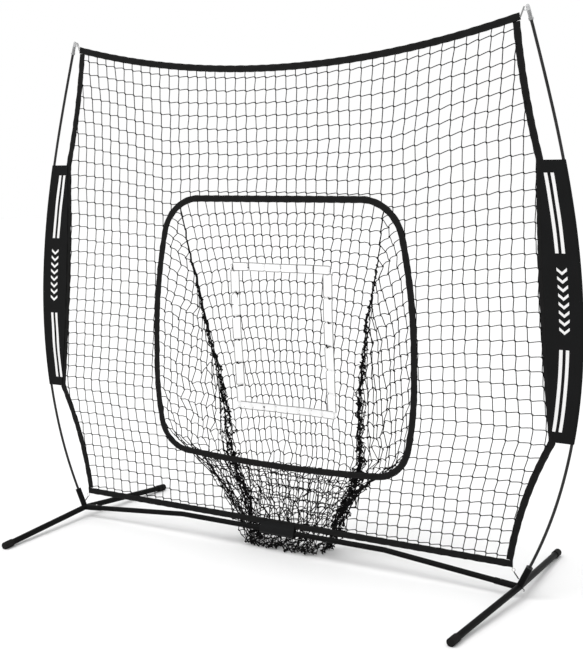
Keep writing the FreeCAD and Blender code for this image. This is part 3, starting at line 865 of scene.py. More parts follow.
def waves(points: np.ndarray, scale: float, seed: float) -> np.ndarray:
    """Smooth noise from about -1 to 1 at each point, as (n, 3).

    Args:
        points: The places.
        scale: How many waves to a metre, roughly.
        seed: Which of the many patterns.

    Returns:
        The noise.
    """
    flat = points.reshape(-1, points.shape[-1])
    if flat.shape[1] == 2:
        flat = np.column_stack([flat, np.zeros(len(flat))])
    offset = Vector((seed, seed * 1.7, -seed))
    noise.seed_set(NOISE_SEED)
    found = [noise.noise_vector(Vector(p) * scale + offset) for p in flat]
    return np.array(found).reshape(points.shape[:-1] + (3,))


@dataclass
class Netting:
    """Knotted twine: runs of points and the knots on them, gathered and made as one piece."""

    name: str
    radius: float = 0.0018
    knot: float = 0.0046
    knot_shape: tuple = (1.40, 0.72, 0.66)
    knot_slant: float = 38.0
    runs: list = field(default_factory=list)
    knots: list = field(default_factory=list)

    def tubes(self) -> bpy.types.Object:
        """The twine as round tubes along every run.

        Returns:
            The tubes as a mesh object.
        """
        data = bpy.data.curves.new(self.name, "CURVE")
        data.dimensions = "3D"
        data.bevel_depth = self.radius
        data.bevel_resolution = 1
        data.use_fill_caps = True
        for run in self.runs:
            spline = data.splines.new("POLY")
            spline.points.add(len(run) - 1)
            spline.points.foreach_set("co", np.column_stack([run, np.ones(len(run))]).ravel())
            spline.use_smooth = True
        piece = bpy.data.objects.new(self.name, data)
        bpy.context.collection.objects.link(piece)
        pick(piece)
        bpy.ops.object.convert(target="MESH")
        return bpy.context.object

    def lumps(self) -> bpy.types.Object:
        """One slanting lump for every knot.

        Returns:
            The knots as a mesh object.
        """
        deselect()
        bpy.ops.mesh.primitive_ico_sphere_add(subdivisions=1, radius=self.knot)
        piece = bpy.context.object
        bpy.ops.transform.resize(value=self.knot_shape)
        bpy.ops.object.transform_apply(location=False, rotation=False, scale=True)
        piece.data.transform(Matrix.Rotation(math.radians(self.knot_slant), 4, "Y"))
        one = np.array([v.co for v in piece.data.vertices])
        faces = np.array([p.vertices for p in piece.data.polygons])
        places = np.array(self.knots)
        points = (places[:, None, :] + one[None]).reshape(-1, 3)
        sides = (np.arange(len(places))[:, None, None] * len(one) + faces[None]).reshape(-1, 3)
        mesh = bpy.data.meshes.new(self.name + "_knots")
        mesh.from_pydata(points.tolist(), [], sides.tolist())
        mesh.update()
        piece.data = mesh
        return piece

    def build(self) -> bpy.types.Object:
        """Make the twine and knots and join them.

        Returns:
            What was made.
        """
        piece = self.tubes()
        lumps = self.lumps()
        pick(piece)
        lumps.select_set(True)
        bpy.ops.object.join()
        piece = bpy.context.object
        piece.name = piece.data.name = self.name
        weld(piece, 0.000002)
        smooth(piece, 70.0)
        return piece


@dataclass(frozen=True)
class Lie:
    """How a twine lies between its knots."""

    # Where the twine leaves one knot and enters the next, off the straight line.
    leave: tuple = (0.0, 0.0, 0.0)
    enter: tuple = (0.0, 0.0, 0.0)
    # How far it lifts between them, and sways out of the net's face.
    arch: float = 0.0
    sway: float = 0.0

    def strand(self, nodes: np.ndarray, turn: int) -> np.ndarray:
        """A twine through its knots.

        Args:
            nodes: (n, 3) places of the knots along it.
            turn: Odd or even, which way the sway starts.

        Returns:
            Four points for each cell, and the last knot.
        """
        share = np.array([0.0, 0.14, 0.5, 0.86])
        leave, enter = np.array(self.leave), np.array(self.enter)
        offset = np.array([0 * leave, leave, (leave + enter) / 2, enter])
        offset[:, 2] += self.arch * np.array([0.0, 0.35, 1.0, 0.5])
        ahead = np.diff(nodes, axis=0)
        full = np.clip(np.linalg.norm(ahead, axis=1) / 0.03, 0, 1)[:, None, None]
        runs = nodes[:-1, None, :] + ahead[:, None, :] * share[None, :, None] + full * offset[None]
        sign = np.where((np.arange(len(ahead)) + turn) % 2 == 0, 1.0, -1.0)
        runs[:, :, 1] += sign[:, None] * self.sway * np.sin(TURN * share)[None] * full[..., 0]
        return np.vstack([runs.reshape(-1, 3), nodes[-1:]])


FLAT_ROW = Lie(leave=(0.0, 0.0, -0.0026), enter=(0.0, 0.0, 0.0026), arch=0.0006, sway=0.0010)
FLAT_COLUMN = Lie(leave=(0.0014, 0.0, 0.0), enter=(-0.0014, 0.0, 0.0), sway=0.0010)
SLACK_ROW = Lie(leave=(0.0, 0.0, -0.0020), enter=(0.0, 0.0, 0.0030), arch=0.0046, sway=0.0030)
SLACK_COLUMN = Lie(leave=(0.0016, 0.0, 0.0), enter=(-0.0016, 0.0, 0.0), sway=0.0030)


def inside(outline: np.ndarray, x: np.ndarray, z: np.ndarray) -> np.ndarray:
    """Whether flat points lie inside a closed outline.

    Args:
        outline: The closed outline, as (x, z) rows.
        x: Places along the width.
        z: Heights.

    Returns:
        True for each point that is inside.
    """
    ahead = np.roll(outline, -1, axis=0)
    x, z = x[..., None], z[..., None]
    spans = (outline[:, 1] > z) != (ahead[:, 1] > z)
    rise = np.where(ahead[:, 1] == outline[:, 1], 1.0, ahead[:, 1] - outline[:, 1])
    cross = outline[:, 0] + (z - outline[:, 1]) * (ahead[:, 0] - outline[:, 0]) / rise
    return ((spans & (x < cross)).sum(axis=-1) % 2) == 1


# ----------------------------------------------------------------------------------------------
# The flat netting round the mouth
# ----------------------------------------------------------------------------------------------

@dataclass
class MainNet:
    """The large flat net between the borders, open at the mouth."""

    pitch: float = 0.0470
    columns: int = 24
    corner_x: float = 0.53
    # Rows of the net at the mouth's corners: (row, height).
    row_heights: tuple = ((0, 2.018), (1, 1.966), (10, 1.480), (30, 0.470), (38, 0.104))
    # How much higher a row meets the side border than it passes the mouth's corner: (height, rise).
    rises: tuple = ((2.018, 0.090), (1.75, 0.105), (1.60, 0.100), (1.457, 0.074), (1.25, 0.046),
                    (0.90, 0.028), (0.60, 0.020), (0.13, 0.0))
    # Half width of the net that the columns are spread over: (height, half width).
    spreads: tuple = ((2.10, 1.105), (1.60, 1.078), (1.10, 1.098), (0.60, 1.143), (0.37, 1.090),
                      (0.12, 1.050))
    spread_rows: float = 1.088
    mouth_top: float = 1.457
    seed: int = 11
    bow: float = 1.5
    tuck: float = 0.008
    drift: float = 0.008
    jitter: float = 0.0010
    billow: float = 0.010

    def table(self, rows: tuple, at: np.ndarray) -> np.ndarray:
        """Read a table of (key, value) at some keys."""
        keys, values = (np.array(column) for column in zip(*sorted(rows)))
        return np.interp(at, keys, values)

    def lattice(self) -> np.ndarray:
        """Places of all knots, as (rows + 1, columns, 3), reaching past the borders.

        Returns:
            The places.
        """
        count = int(self.row_heights[-1][0])
        base = self.table(self.row_heights, np.arange(count + 1))[:, None]
        step = np.arange(-self.columns, self.columns + 1)[None]
        x = step * self.pitch * self.table(self.spreads, base) / self.spread_rows
        out = np.clip((np.abs(x) - self.corner_x) / (self.spread_rows - self.corner_x), 0, 1.2)
        sag = LAYOUT.top_height(np.clip(np.abs(x), 0, LAYOUT.corner_x), 0.0)
        sag = sag - LAYOUT.top_height(np.array(self.corner_x), 0.0)
        near_top = np.clip((base - self.mouth_top) / 0.56, 0, 1) ** 1.3
        tent = self.table(self.rises, base) * (1 - (1 - np.clip(out, 0, 1)) ** self.bow)
        z = base + np.where(np.abs(x) > self.corner_x, near_top * sag + (1 - near_top) * tent, near_top * sag)
        flat = np.stack([x, np.zeros_like(x), z + 0 * x], axis=-1)
        slow = waves(flat, 2.4, 3.1) + 0.6 * waves(flat, 6.0, 9.4)
        rng = np.random.default_rng(self.seed)
        loose = rng.normal(0, self.jitter, flat.shape)
        ease = np.clip((z - LAYOUT.bottom_z) / 0.25, 0, 1) * np.clip((2.0 - z) / 0.3, 0.15, 1)
        flat[..., 0] += self.drift * slow[..., 0] + loose[..., 0]
        flat[..., 2] += ease * self.drift * 0.8 * slow[..., 2] + loose[..., 2]
        flat[..., 1] = self.billow * slow[..., 1] * self.freedom(flat[..., 0], flat[..., 2])
        return flat

    def freedom(self, x: np.ndarray, z: np.ndarray) -> np.ndarray:
        """0 at the mouth ring and the borders, 1 well away from them.

        Args:
            x: Places along the width.
            z: Heights.

        Returns:
            The shares, 0 to 1.
        """
        lines = np.vstack([LAYOUT.mouth()[::12], self.outline()[::12]])
        gaps = np.hypot(x[..., None] - lines[:, 0], z[..., None] - lines[:, 1]).min(axis=-1)
        return np.clip(gaps / 0.15, 0, 1) * inside(self.outline(), x, z)

    def outline(self) -> np.ndarray:
        """Where the twines end under the borders.

        Returns:
            Its (x, z) points.
        """
        edge = self.tuck - LAYOUT.band
        top, low = LAYOUT.top(edge), LAYOUT.bottom(-edge)
        return np.vstack([top, LAYOUT.side(Side.RIGHT, edge), low[::-1], LAYOUT.side(Side.LEFT, edge)[::-1]])

    def there(self, points: np.ndarray) -> np.ndarray:
        """Whether each point is on the net: within the borders and outside the mouth."""
        x, z = points[..., 0], points[..., 2]
        return inside(self.outline()[::3], x, z) & ~inside(LAYOUT.mouth()[::4], x, z)

    def trimmed(self, line: np.ndarray) -> list[np.ndarray]:
        """The stretches of a strand that are on the net, ended under its webbing.

        Args:
            line: The points of the line, one per row.

        Returns:
            The stretches.
        """
        on = self.there(line)
        runs, current = [], [line[0]] if on[0] else []
        for index in range(len(line) - 1):
            if on[index] != on[index + 1]:
                keep, drop = (line[index], line[index + 1])[::1 if on[index] else -1]
                for _ in range(10):
                    middle = (keep + drop) / 2
                    keep, drop = (middle, drop) if self.there(middle[None])[0] else (keep, middle)
                current.append(keep)
                if on[index]:
                    runs.append(np.array(current))
                    current = []
            if on[index + 1]:
                current.append(line[index + 1])
        runs += [np.array(current)] if current else []
        return [run for run in runs if len(run) > 1 and length_of(run) > 0.006]

    def build(self) -> bpy.types.Object:
        """Model the net as one piece.

        Returns:
            What was made.
        """
        knots = self.lattice()
        net = Netting("net_main")
        for row in range(len(knots)):
            net.runs += self.trimmed(FLAT_ROW.strand(knots[row], row))
        for column in range(knots.shape[1]):
            net.runs += self.trimmed(FLAT_COLUMN.strand(knots[:, column], column + 1))
        places = knots.reshape(-1, 3)
        net.knots = list(places[self.there(places)])
        piece = net.build()
        dress(piece, finish_of(Slot.NETTING))
        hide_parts("net_upper", "net_lower", "net_side_left", "net_side_right")
        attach(piece, Body.FRAME.value)
        return piece


# ----------------------------------------------------------------------------------------------
# The hanging pocket
# ----------------------------------------------------------------------------------------------

@dataclass
class Pocket:
    """The net pocket behind the mouth: back panel, gathered sides, front lobe and floor."""

    mesh: float = 0.0500
    columns: int = 22
    # Right-hand seam, from the ring's top corner down to the floor, as (x, y, z).
    seam: tuple = ((0.480, 0.003, 1.430), (0.464, 0.011, 1.365), (0.448, 0.021, 1.25), (0.422, 0.032, 1.14),
                   (0.397, 0.042, 1.02), (0.372, 0.054, 0.90), (0.348, 0.072, 0.78), (0.328, 0.088, 0.68),
                   (0.316, 0.104, 0.57), (0.306, 0.125, 0.44), (0.294, 0.138, 0.34), (0.258, 0.142, 0.24),
                   (0.215, 0.147, 0.12), (0.172, 0.150, 0.018))
    # Where the side panel's outer edge is while its inner edge follows the seam.
    rim: tuple = ((0.484, 0.003, 1.424), (0.522, 0.003, 1.394), (0.553, 0.003, 1.330), (0.577, 0.003, 1.235),
                  (0.592, 0.003, 1.120), (0.603, 0.003, 1.000), (0.610, 0.003, 0.875), (0.611, 0.003, 0.775),
                  (0.610, 0.003, 0.665), (0.598, 0.003, 0.545), (0.566, 0.004, 0.455), (0.440, 0.010, 0.378),
                  (0.262, 0.050, 0.200), (0.180, 0.068, 0.020))
    # The lobe that hangs from the ring's lower edge, turns under and lies on the floor.
    lobe: tuple = ((0.390, 0.006, 0.368), (0.318, 0.020, 0.270), (0.255, 0.026, 0.180), (0.202, 0.026, 0.100),
                   (0.176, 0.016, 0.040), (0.160, 0.014, 0.010), (0.160, 0.085, 0.008), (0.165, 0.149, 0.016))
    # How much netting each side panel holds between ring and seam, by the seam's height.
    slack: tuple = ((1.43, 0.02), (1.25, 0.13), (1.10, 0.30), (0.90, 0.52), (0.66, 0.78), (0.35, 0.95),
                    (0.02, 0.80))
    # Width of a cell across the side panel near the ring and in the gathers at the seam.
    cell_wide: float = 0.038
    cell_tight: float = 0.0065
    lacings: int = 4
    lean: float = 0.016
    top_row: float = 1.454
    swing_start: tuple = (0.0, 0.004, 0.0)
    swing_end: tuple = (0.0, 0.080, 0.0)
    # The netting stays behind the cross bar and the bottom border between these heights.
    bar_low: float = 0.036
    bar_high: float = 0.16
    bar_back: float = 0.024
    # The lowest that a knot lies, and how closely the lobe's rows are packed.
    lowest: float = 0.006
    lobe_packing: float = 0.62
    # How deep a side panel's pleats stand, front to back and sideways, and how far its middle sags.
    pleat_depth: float = 0.020
    pleat_sway: float = 0.010
    side_sag: float = 0.02
    lobe_start: tuple = (0.0, 0.0, 0.368)
    lobe_end: tuple = (0.0, 0.0, 0.100)

    def stops(self, table: tuple, count: int) -> np.ndarray:
        """Evenly spaced points along a line of (x, y, z) stops."""
        return even(smoothed(np.array(table)), count)

    @property
    def rows(self) -> int:
        """How many cells deep the back panel is."""
        return round(length_of(np.array(self.seam)) / self.mesh)

    def leaning(self, points: np.ndarray) -> np.ndarray:
        """The pocket's foot hangs a little to the left.

        Args:
            points: The places.

        Returns:
            The moved points.
        """
        moved = points.copy()
        low = np.clip((0.62 - points[..., 2]) / 0.6, 0, 1)
        moved[..., 0] -= self.lean * low ** 1.4
        return moved

    def back(self) -> np.ndarray:
        """Knots of the back panel, as (rows + 1, columns + 1, 3).

        Returns:
            The knots.
        """
        seam = self.stops(self.seam, self.rows + 1)
        share = np.linspace(-1, 1, self.columns + 1)
        knots = np.empty((self.rows + 1, self.columns + 1, 3))
        knots[..., 0] = seam[:, 0:1] * share[None]
        knots[..., 1] = seam[:, 1:2] + self.belly(seam[:, 2:3]) * (1 - share[None] ** 2)
        knots[..., 2] = self.back_height(seam[:, 2:3], share[None])
        knots[0, :, 2] = np.where(np.abs(share) < 0.9, self.top_row, knots[0, :, 2])
        return knots

    def belly(self, height: np.ndarray) -> np.ndarray:
        """How much deeper the back panel's middle hangs than its seams."""
        return 0.010 * np.clip((1.40 - height) / 0.9, 0, 1)

    def back_height(self, height: np.ndarray, share: np.ndarray) -> np.ndarray:
        """Height of a back-panel row that meets the seams at a height; its middle runs higher."""
        lift = 0.012 + 0.026 * np.clip((1.446 - height) / 0.3, 0, 1) * np.clip(height / 0.35, 0, 1)
        return height + lift * (1 - np.abs(share) ** 2.4)

    def side_panel(self, side: Side) -> tuple[np.ndarray, np.ndarray]:
        """Knots of one side panel and where they exist.

        Args:
            side: Left or right.

        Returns:
            (rows + 1, n, 3) places from the ring inwards, and a mask of those inside the seam.
        """
        seam_line = smoothed(np.array(self.seam))
        rim_line = smoothed(np.array(self.rim))
        seam = even(seam_line, self.rows + 1)
        pace = np.linspace(0, 1, len(seam_line))
        share = np.interp(-seam[:, 2], -seam_line[:, 2], pace)
        rim = np.column_stack([np.interp(share, pace, rim_line[:, k]) for k in range(3)])
        heights, amounts = zip(*self.slack)
        cloth = np.interp(-seam[:, 2], [-h for h in heights], amounts)
        wide = int(max(amounts) / self.mesh) + 1
        gap = np.linalg.norm(rim - seam, axis=1)
        across = np.ones((self.rows + 1, wide + 1))
        there = np.zeros(across.shape, bool)
        for row in range(self.rows + 1):
            cells = max(1, round(cloth[row] / self.mesh))
            near = min(1.0, gap[row] / (cells * self.cell_wide))
            tight = np.clip(np.arange(cells) / cells * 2.2 - 0.75, 0, 1)
            widths = self.cell_wide * (1 - tight) + self.cell_tight * tight if near < 1 else np.ones(cells)
            run = np.concatenate([[0], np.cumsum(widths)])
            across[row, :cells + 1] = run / run[-1]
            there[row, :cells + 1] = True
        points = rim[:, None] + (seam - rim)[:, None] * across[..., None]
        low = np.clip((1.25 - seam[:, 2]) / 0.9, 0, 1)[:, None]
        points[..., 2] -= self.side_sag * np.sin(math.pi * across) * low
        pleat = np.where(np.arange(wide + 1) % 2 == 0, 1.0, -1.0)[None] * np.clip(across * 2.4 - 1.2, 0, 1)
        points[..., 1] += self.pleat_depth * pleat * low * (1.15 - across)
        points[..., 0] += self.pleat_sway * pleat * low
        zigzag = (np.arange(len(seam)) % 2 * 2 - 1)[:, None]
        points[..., 2] += self.pleat_sway * low * np.roll(pleat, 1, axis=0) * zigzag
        points[..., 0] *= side.value
        return points, there

    def front(self) -> np.ndarray:
        """Knots of the front lobe and the floor it turns into.

        Returns:
            The knots.
        """
        rows = round(length_of(np.array(self.lobe)) / (self.mesh * self.lobe_packing))
        edge = even(smoothed(np.array(self.lobe)), rows + 1)
        share = np.linspace(-1, 1, self.columns + 3)
        knots = np.empty((rows + 1, len(share), 3))
        knots[..., 0] = edge[:, 0:1] * share[None]
        knots[..., 1] = edge[:, 1:2] + 0.004 * np.cos(TURN * share[None] * 2)
        dip = 0.020 * np.clip((0.368 - edge[:, 2:3]) / 0.1, 0, 1) * np.clip(edge[:, 2:3] / 0.15, 0, 1)
        knots[..., 2] = edge[:, 2:3] - dip * (1 - share[None] ** 2)
        return knots

    def tangled(self, knots: np.ndarray, seed: int, gathers: float) -> np.ndarray:
        """Knots moved about a little, more towards the pocket's foot and where the net is gathered.

        Args:
            knots: Places of the knots.
            seed: Which of the many patterns.
            gathers: Extra movement where the net is gathered.

        Returns:
            The moved knots.
        """
        low = np.clip((1.2 - knots[..., 2]) / 1.1, 0, 1)
        amount = (0.0016 + 0.0040 * low ** 2 + gathers * low)[..., None]
        rng = np.random.default_rng(seed)
        moved = knots + amount * rng.normal(0, 1, knots.shape)
        moved += (0.004 + 0.008 * low)[..., None] * waves(knots, 6.0, seed * 1.3)
        moved[0] = knots[0]
        moved[..., 2] = np.maximum(moved[..., 2], self.lowest)
        by_bar = (moved[..., 2] > self.bar_low) & (moved[..., 2] < self.bar_high)
        nearest = np.where(by_bar, self.bar_back, np.minimum(knots[..., 1], 0.010))
        moved[..., 1] = np.maximum(moved[..., 1], nearest)
        return self.leaning(moved)

    def hang(self, piece: bpy.types.Object, start: tuple = (), end: tuple = ()) -> None:
        """Bake a piece's placement into its mesh."""
        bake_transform(piece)

    def panel(self, name: str, knots: np.ndarray, mask: np.ndarray, node: str,
              span: tuple = ((), ())) -> bpy.types.Object:
        """Model one panel of netting and bake its placement.

        Args:
            name: The piece's name.
            knots: (rows, columns, 3) places of its knots.
            mask: Which of them exist.
            node: The frame's node that it stands for.
            span: Where it would leave the frame's motion and join the pocket's; not used.

        Returns:
            The piece.
        """
        net = Netting(name)
        rows, columns = mask.shape
        for row in range(1, rows):
            net.runs += stretches(knots[row], mask[row], SLACK_ROW, row)
        for column in range(columns):
            net.runs += stretches(knots[:, column], mask[:, column], SLACK_COLUMN, column)
        net.knots = list(knots[1:][mask[1:]])
        piece = net.build()
        dress(piece, finish_of(Slot.NETTING))
        self.hang(piece, *span)
        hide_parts(node)
        return piece

    def seam_cord(self, side: Side) -> bpy.types.Object:
        """The doubled twine that laces a side panel to the back panel.

        Args:
            side: Left or right.

        Returns:
            The piece.
        """
        knots = self.tangled(self.back(), 5, 0.0)[:, -1 if side is Side.RIGHT else 0]
        line = SLACK_COLUMN.strand(knots, 0)
        low = np.clip((1.35 - line[:, 2]) / 1.0, 0, 1)[:, None]
        rng = np.random.default_rng(41 + side.value)
        net = Netting("pocket_lacing_" + side.word, radius=0.0020, knot=0.0050, knot_shape=(1.4, 0.9, 0.8))
        net.runs = [line]
        for _ in range(self.lacings):
            loose = low * (0.003 + 0.010 * low) * rng.normal(0, 1, line.shape)
            loose[:, 0] += side.value * low[:, 0] * abs(rng.normal(0, 0.012))
            strand = line + loose + np.array([0.0, -0.0030, 0.0])
            strand[:, 2] = np.maximum(strand[:, 2], self.lowest)
            net.runs.append(strand)
            net.knots += list(strand[1 + int(rng.integers(0, 2))::2])
        net.knots = [knot for knot in net.knots if knot[2] < 1.22]
        piece = net.build()
        dress(piece, finish_of(Slot.NETTING))
        self.hang(piece)
        return piece

    def build(self) -> list[bpy.types.Object]:
        """Model the whole pocket.

        Returns:
            What was made.
        """
        back = self.tangled(self.back(), 5, 0.0)
        pieces = [self.panel("pocket_net_back", back, np.ones(back.shape[:2], bool), "pocket_back")]
        for side, seed in ((Side.LEFT, 21), (Side.RIGHT, 22)):
            knots, mask = self.side_panel(side)
            knots = self.tangled(knots, seed, 0.005)
            node = "pocket_side_" + side.word
            pieces.append(self.panel("pocket_net_" + side.word, knots, mask, node))
            pieces.append(self.seam_cord(side))
        front = self.tangled(self.front(), 31, 0.002)
        mask = np.ones(front.shape[:2], bool)
        pieces.append(self.panel("pocket_net_front", front, mask, "pocket_front",
                                 (self.lobe_start, self.lobe_end)))
        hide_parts("pocket_floor")
        return pieces


def smoothed(line: np.ndarray, passes: int = 2) -> np.ndarray:
    """A line with its corners rounded off, its ends kept.

    Args:
        line: The points of the line, one per row.
        passes: How many times the corners are cut.

    Returns:
        The smoother line.
    """
    for _ in range(passes):
        near = 0.75 * line[:-1] + 0.25 * line[1:]
        far = 0.25 * line[:-1] + 0.75 * line[1:]
        between = np.stack([near, far], axis=1).reshape(-1, line.shape[1])
        line = np.vstack([line[:1], between[1:-1], line[-1:]])
    return line


def stretches(nodes: np.ndarray, there: np.ndarray, lie: Lie, turn: int) -> list[np.ndarray]:
    """Strands through each unbroken run of the knots that exist.

    Args:
        nodes: Places of the knots along it.
        there: Which knots exist.
        lie: How the twine lies.
        turn: Odd or even, which way the sway starts.

    Returns:
        The strands.
    """
    found = []
    index = np.flatnonzero(there)
    for group in np.split(index, np.flatnonzero(np.diff(index) > 1) + 1):
        if len(group) > 1:
            found.append(lie.strand(nodes[group], turn))
    return found


# ----------------------------------------------------------------------------------------------
# Strike zone
# ----------------------------------------------------------------------------------------------

@dataclass
class StrikeZone:
    """Four white straps woven through the pocket's back panel."""

    pocket: Pocket
    width: float = 0.044
    cross_width: float = 0.036
    half: float = 0.242
    top: float = 1.197
    bottom: float = 0.563
    drift: float = 0.022
    sheet: float = 0.0016
    lift: float = 0.0062
    ride: float = 0.0042
    hold: float = 0.86
    pinch: float = 0.0026
    clip: float = 0.014
    cell: float = 0.0045

    def seam_at(self, height: np.ndarray) -> tuple[np.ndarray, np.ndarray]:
        """Half width and depth of the seams at a height."""
        seam = smoothed(np.array(self.pocket.seam))
        return tuple(np.interp(-height, -seam[:, 2], seam[:, k]) for k in (0, 1))

    def face(self, x: np.ndarray, z: np.ndarray) -> tuple[np.ndarray, np.ndarray, np.ndarray]:
        """Depth of the back panel, and its column and row counts, at a place.

        Args:
            x: Places along the width.
            z: Heights.

        Returns:
            The depths, the column counts and the row counts.
        """
        height = z.copy()
        for _ in range(4):
            half, depth = self.seam_at(height)
            share = np.clip(x / half, -1, 1)
            height += z - self.pocket.back_height(height, share)
        half, depth = self.seam_at(height)
        share = np.clip(x / half, -1, 1)
        depth = depth + self.pocket.belly(height) * (1 - share ** 2)
        seam = self.pocket.stops(self.pocket.seam, self.pocket.rows + 1)
        row = np.interp(-height, -seam[:, 2], np.arange(self.pocket.rows + 1))
        return depth, share * self.pocket.columns / 2, row

    def strap(self, name: str, upright: bool, middle: float, reach: tuple[float, float], clipped: bool,
              node: str) -> bpy.types.Object:
        """One strap.

        Args:
            name: The piece's name.
            upright: Whether it runs up and down.
            middle: Place of its centre line.
            reach: Where it starts and ends.
            clipped: Whether its outer corners are cut off.
            node: The frame's node that it stands for.

        Returns:
            The piece.
        """
        start, end = reach
        outward = 1.0 if middle > (self.top + self.bottom) / 2 else -1.0
        width = self.width if upright else self.cross_width

        def place(along: np.ndarray, across: np.ndarray) -> np.ndarray:
            """Places of the points for their shares of the length and width.

            Args:
                along: Shares along the piece, 0 to 1.
                across: Shares across the piece, 0 to 1.

            Returns:
                The places, one per row.
            """
            run = start + (end - start) * along
            cross = (across - 0.5) * width
            if clipped:
                near = np.minimum(along, 1 - along) * abs(end - start)
                cut = np.clip(self.clip - near, 0, None)
                room = width / 2 - cut
                cross = np.where(cross * outward > room, room * outward, cross)
            first = (middle + cross, run) if upright else (run, middle + cross)
            depth, column, row = self.face(*first)
            count = row if upright else column
            under = np.clip((np.cos(math.pi * count) - self.hold) / (1 - self.hold), 0, 1) ** 2
            cross = cross * (1 - self.pinch / width * 2 * under)
            x, z = (middle + cross, run) if upright else (run, middle + cross)
            cup = 0.0008 * (across * 2 - 1) ** 2
            y = depth - self.lift + (self.lift + self.ride) * under - cup
            moved = np.column_stack([x - self.drift * (self.top - z) / (self.top - self.bottom), y, z])
            wander = waves(moved, 9.0, 4.4)
            moved[:, 0] += 0.0015 * wander[:, 0]
            moved[:, 2] += 0.0015 * wander[:, 2]
            return moved

        def measure(along: np.ndarray, across: np.ndarray) -> np.ndarray:
            """Cloth coordinates in metres for the same shares."""
            return np.column_stack([along * abs(end - start), across * self.width])

        cells = (max(40, round(abs(end - start) / self.cell)), 7)
        piece = cloth_piece(name, cells, place, measure, self.sheet, 0.0005)
        dress(piece, finish_of(Slot.STRAP))
        self.pocket.hang(piece)
        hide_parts(node)
        return piece

    def build(self) -> list[bpy.types.Object]:
        """Model the four straps.

        Returns:
            What was made.
        """
        edge, rest = self.cross_width / 2, self.width / 2
        ends = (-self.half, self.half)
        pieces = [self.strap("strike_top", False, self.top - edge, ends, True, "strike_strap_top"),
                  self.strap("strike_bottom", False, self.bottom + edge, ends, True, "strike_strap_bottom")]
        span = (self.top - self.cross_width + 0.004, self.bottom + self.cross_width - 0.004)
        for side in Side:
            middle = side.value * (self.half - rest)
            node = "strike_strap_" + side.word
            pieces.append(self.strap("strike_" + side.word, True, middle, span, False, node))
        return pieces


# ----------------------------------------------------------------------------------------------
# Webbing: border and mouth ring
# ----------------------------------------------------------------------------------------------

@dataclass
class Webbing:
    """Folded webbing sewn round the net and round the mouth."""

    sheet: float = 0.0036
    ring_sheet: float = 0.0052
    cell: float = 0.011
    pucker: float = 0.0009
    scallop: float = 0.0006
    pitch: float = 0.05

    def tape(self, name: str, line: np.ndarray, depth: float, sheet: float, node: str) -> bpy.types.Object:
        """A strip of folded webbing along a flat line.

        Args:
            name: The piece's name.
            line: (n, 2) points of its centre line.
            depth: How far behind the net's face it lies.
            sheet: Its thickness.
            node: The frame's node that it stands for.

        Returns:
            The piece.
        """
        long = length_of(line)
        fine = even(line, 2001)
        wide = LAYOUT.webbing
        out = shifted(fine, 1.0) - fine

        def place(along: np.ndarray, across: np.ndarray) -> np.ndarray:
            """Places of the points for their shares of the length and width.

            Args:
                along: Shares along the piece, 0 to 1.
                across: Shares across the piece, 0 to 1.

            Returns:
                The places, one per row.
            """
            index = along * (len(fine) - 1)
            low = np.clip(index.astype(int), 0, len(fine) - 2)
            part = (index - low)[:, None]
            middle = fine[low] * (1 - part) + fine[low + 1] * part
            aside = out[low]
            travelled = along * long
            edge = across * 2 - 1
            cross = edge * (wide / 2 + self.scallop * np.cos(TURN * travelled / self.pitch) * np.abs(edge))
            flat = middle + aside * cross[:, None]
            ripple = self.pucker * np.sin(TURN * travelled / (self.pitch * 1.7) + 2.2 * edge)
            ripple += 0.5 * self.pucker * np.sin(TURN * travelled / 0.031)
            fold = sheet * 0.10 * (1 - edge ** 2)
            return np.column_stack([flat[:, 0], depth + ripple - fold, flat[:, 1]])

        def measure(along: np.ndarray, across: np.ndarray) -> np.ndarray:
            """Cloth coordinates in metres for the same shares."""
            return np.column_stack([along * long, across * wide])

        cells = (round(long / self.cell), 6)
        piece = cloth_piece(name, cells, place, measure, sheet, sheet * 0.38)
        dress(piece, finish_of(Slot.WEBBING))
        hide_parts(node)
        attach(piece, Body.FRAME.value)
        return piece

    def build(self) -> list[bpy.types.Object]:
        """Model the four borders and the mouth ring.

        Returns:
            What was made.
        """
        pieces = [self.tape("webbing_top", LAYOUT.top(0.0), -0.0004, self.sheet, "border_top"),
                  self.tape("webbing_bottom", LAYOUT.bottom(0.0), -0.0004, self.sheet, "border_bottom")]
        for side in Side:
            line = LAYOUT.side(side, 0.0)
            pieces.append(self.tape("webbing_" + side.word, line, 0.0006, self.sheet, "border_" + side.word))
        ring = self.tape("webbing_ring", LAYOUT.mouth(), 0.0, self.ring_sheet, "mouth_ring")
        return pieces + [ring]


# ----------------------------------------------------------------------------------------------
# Sleeves and wrap
# ----------------------------------------------------------------------------------------------

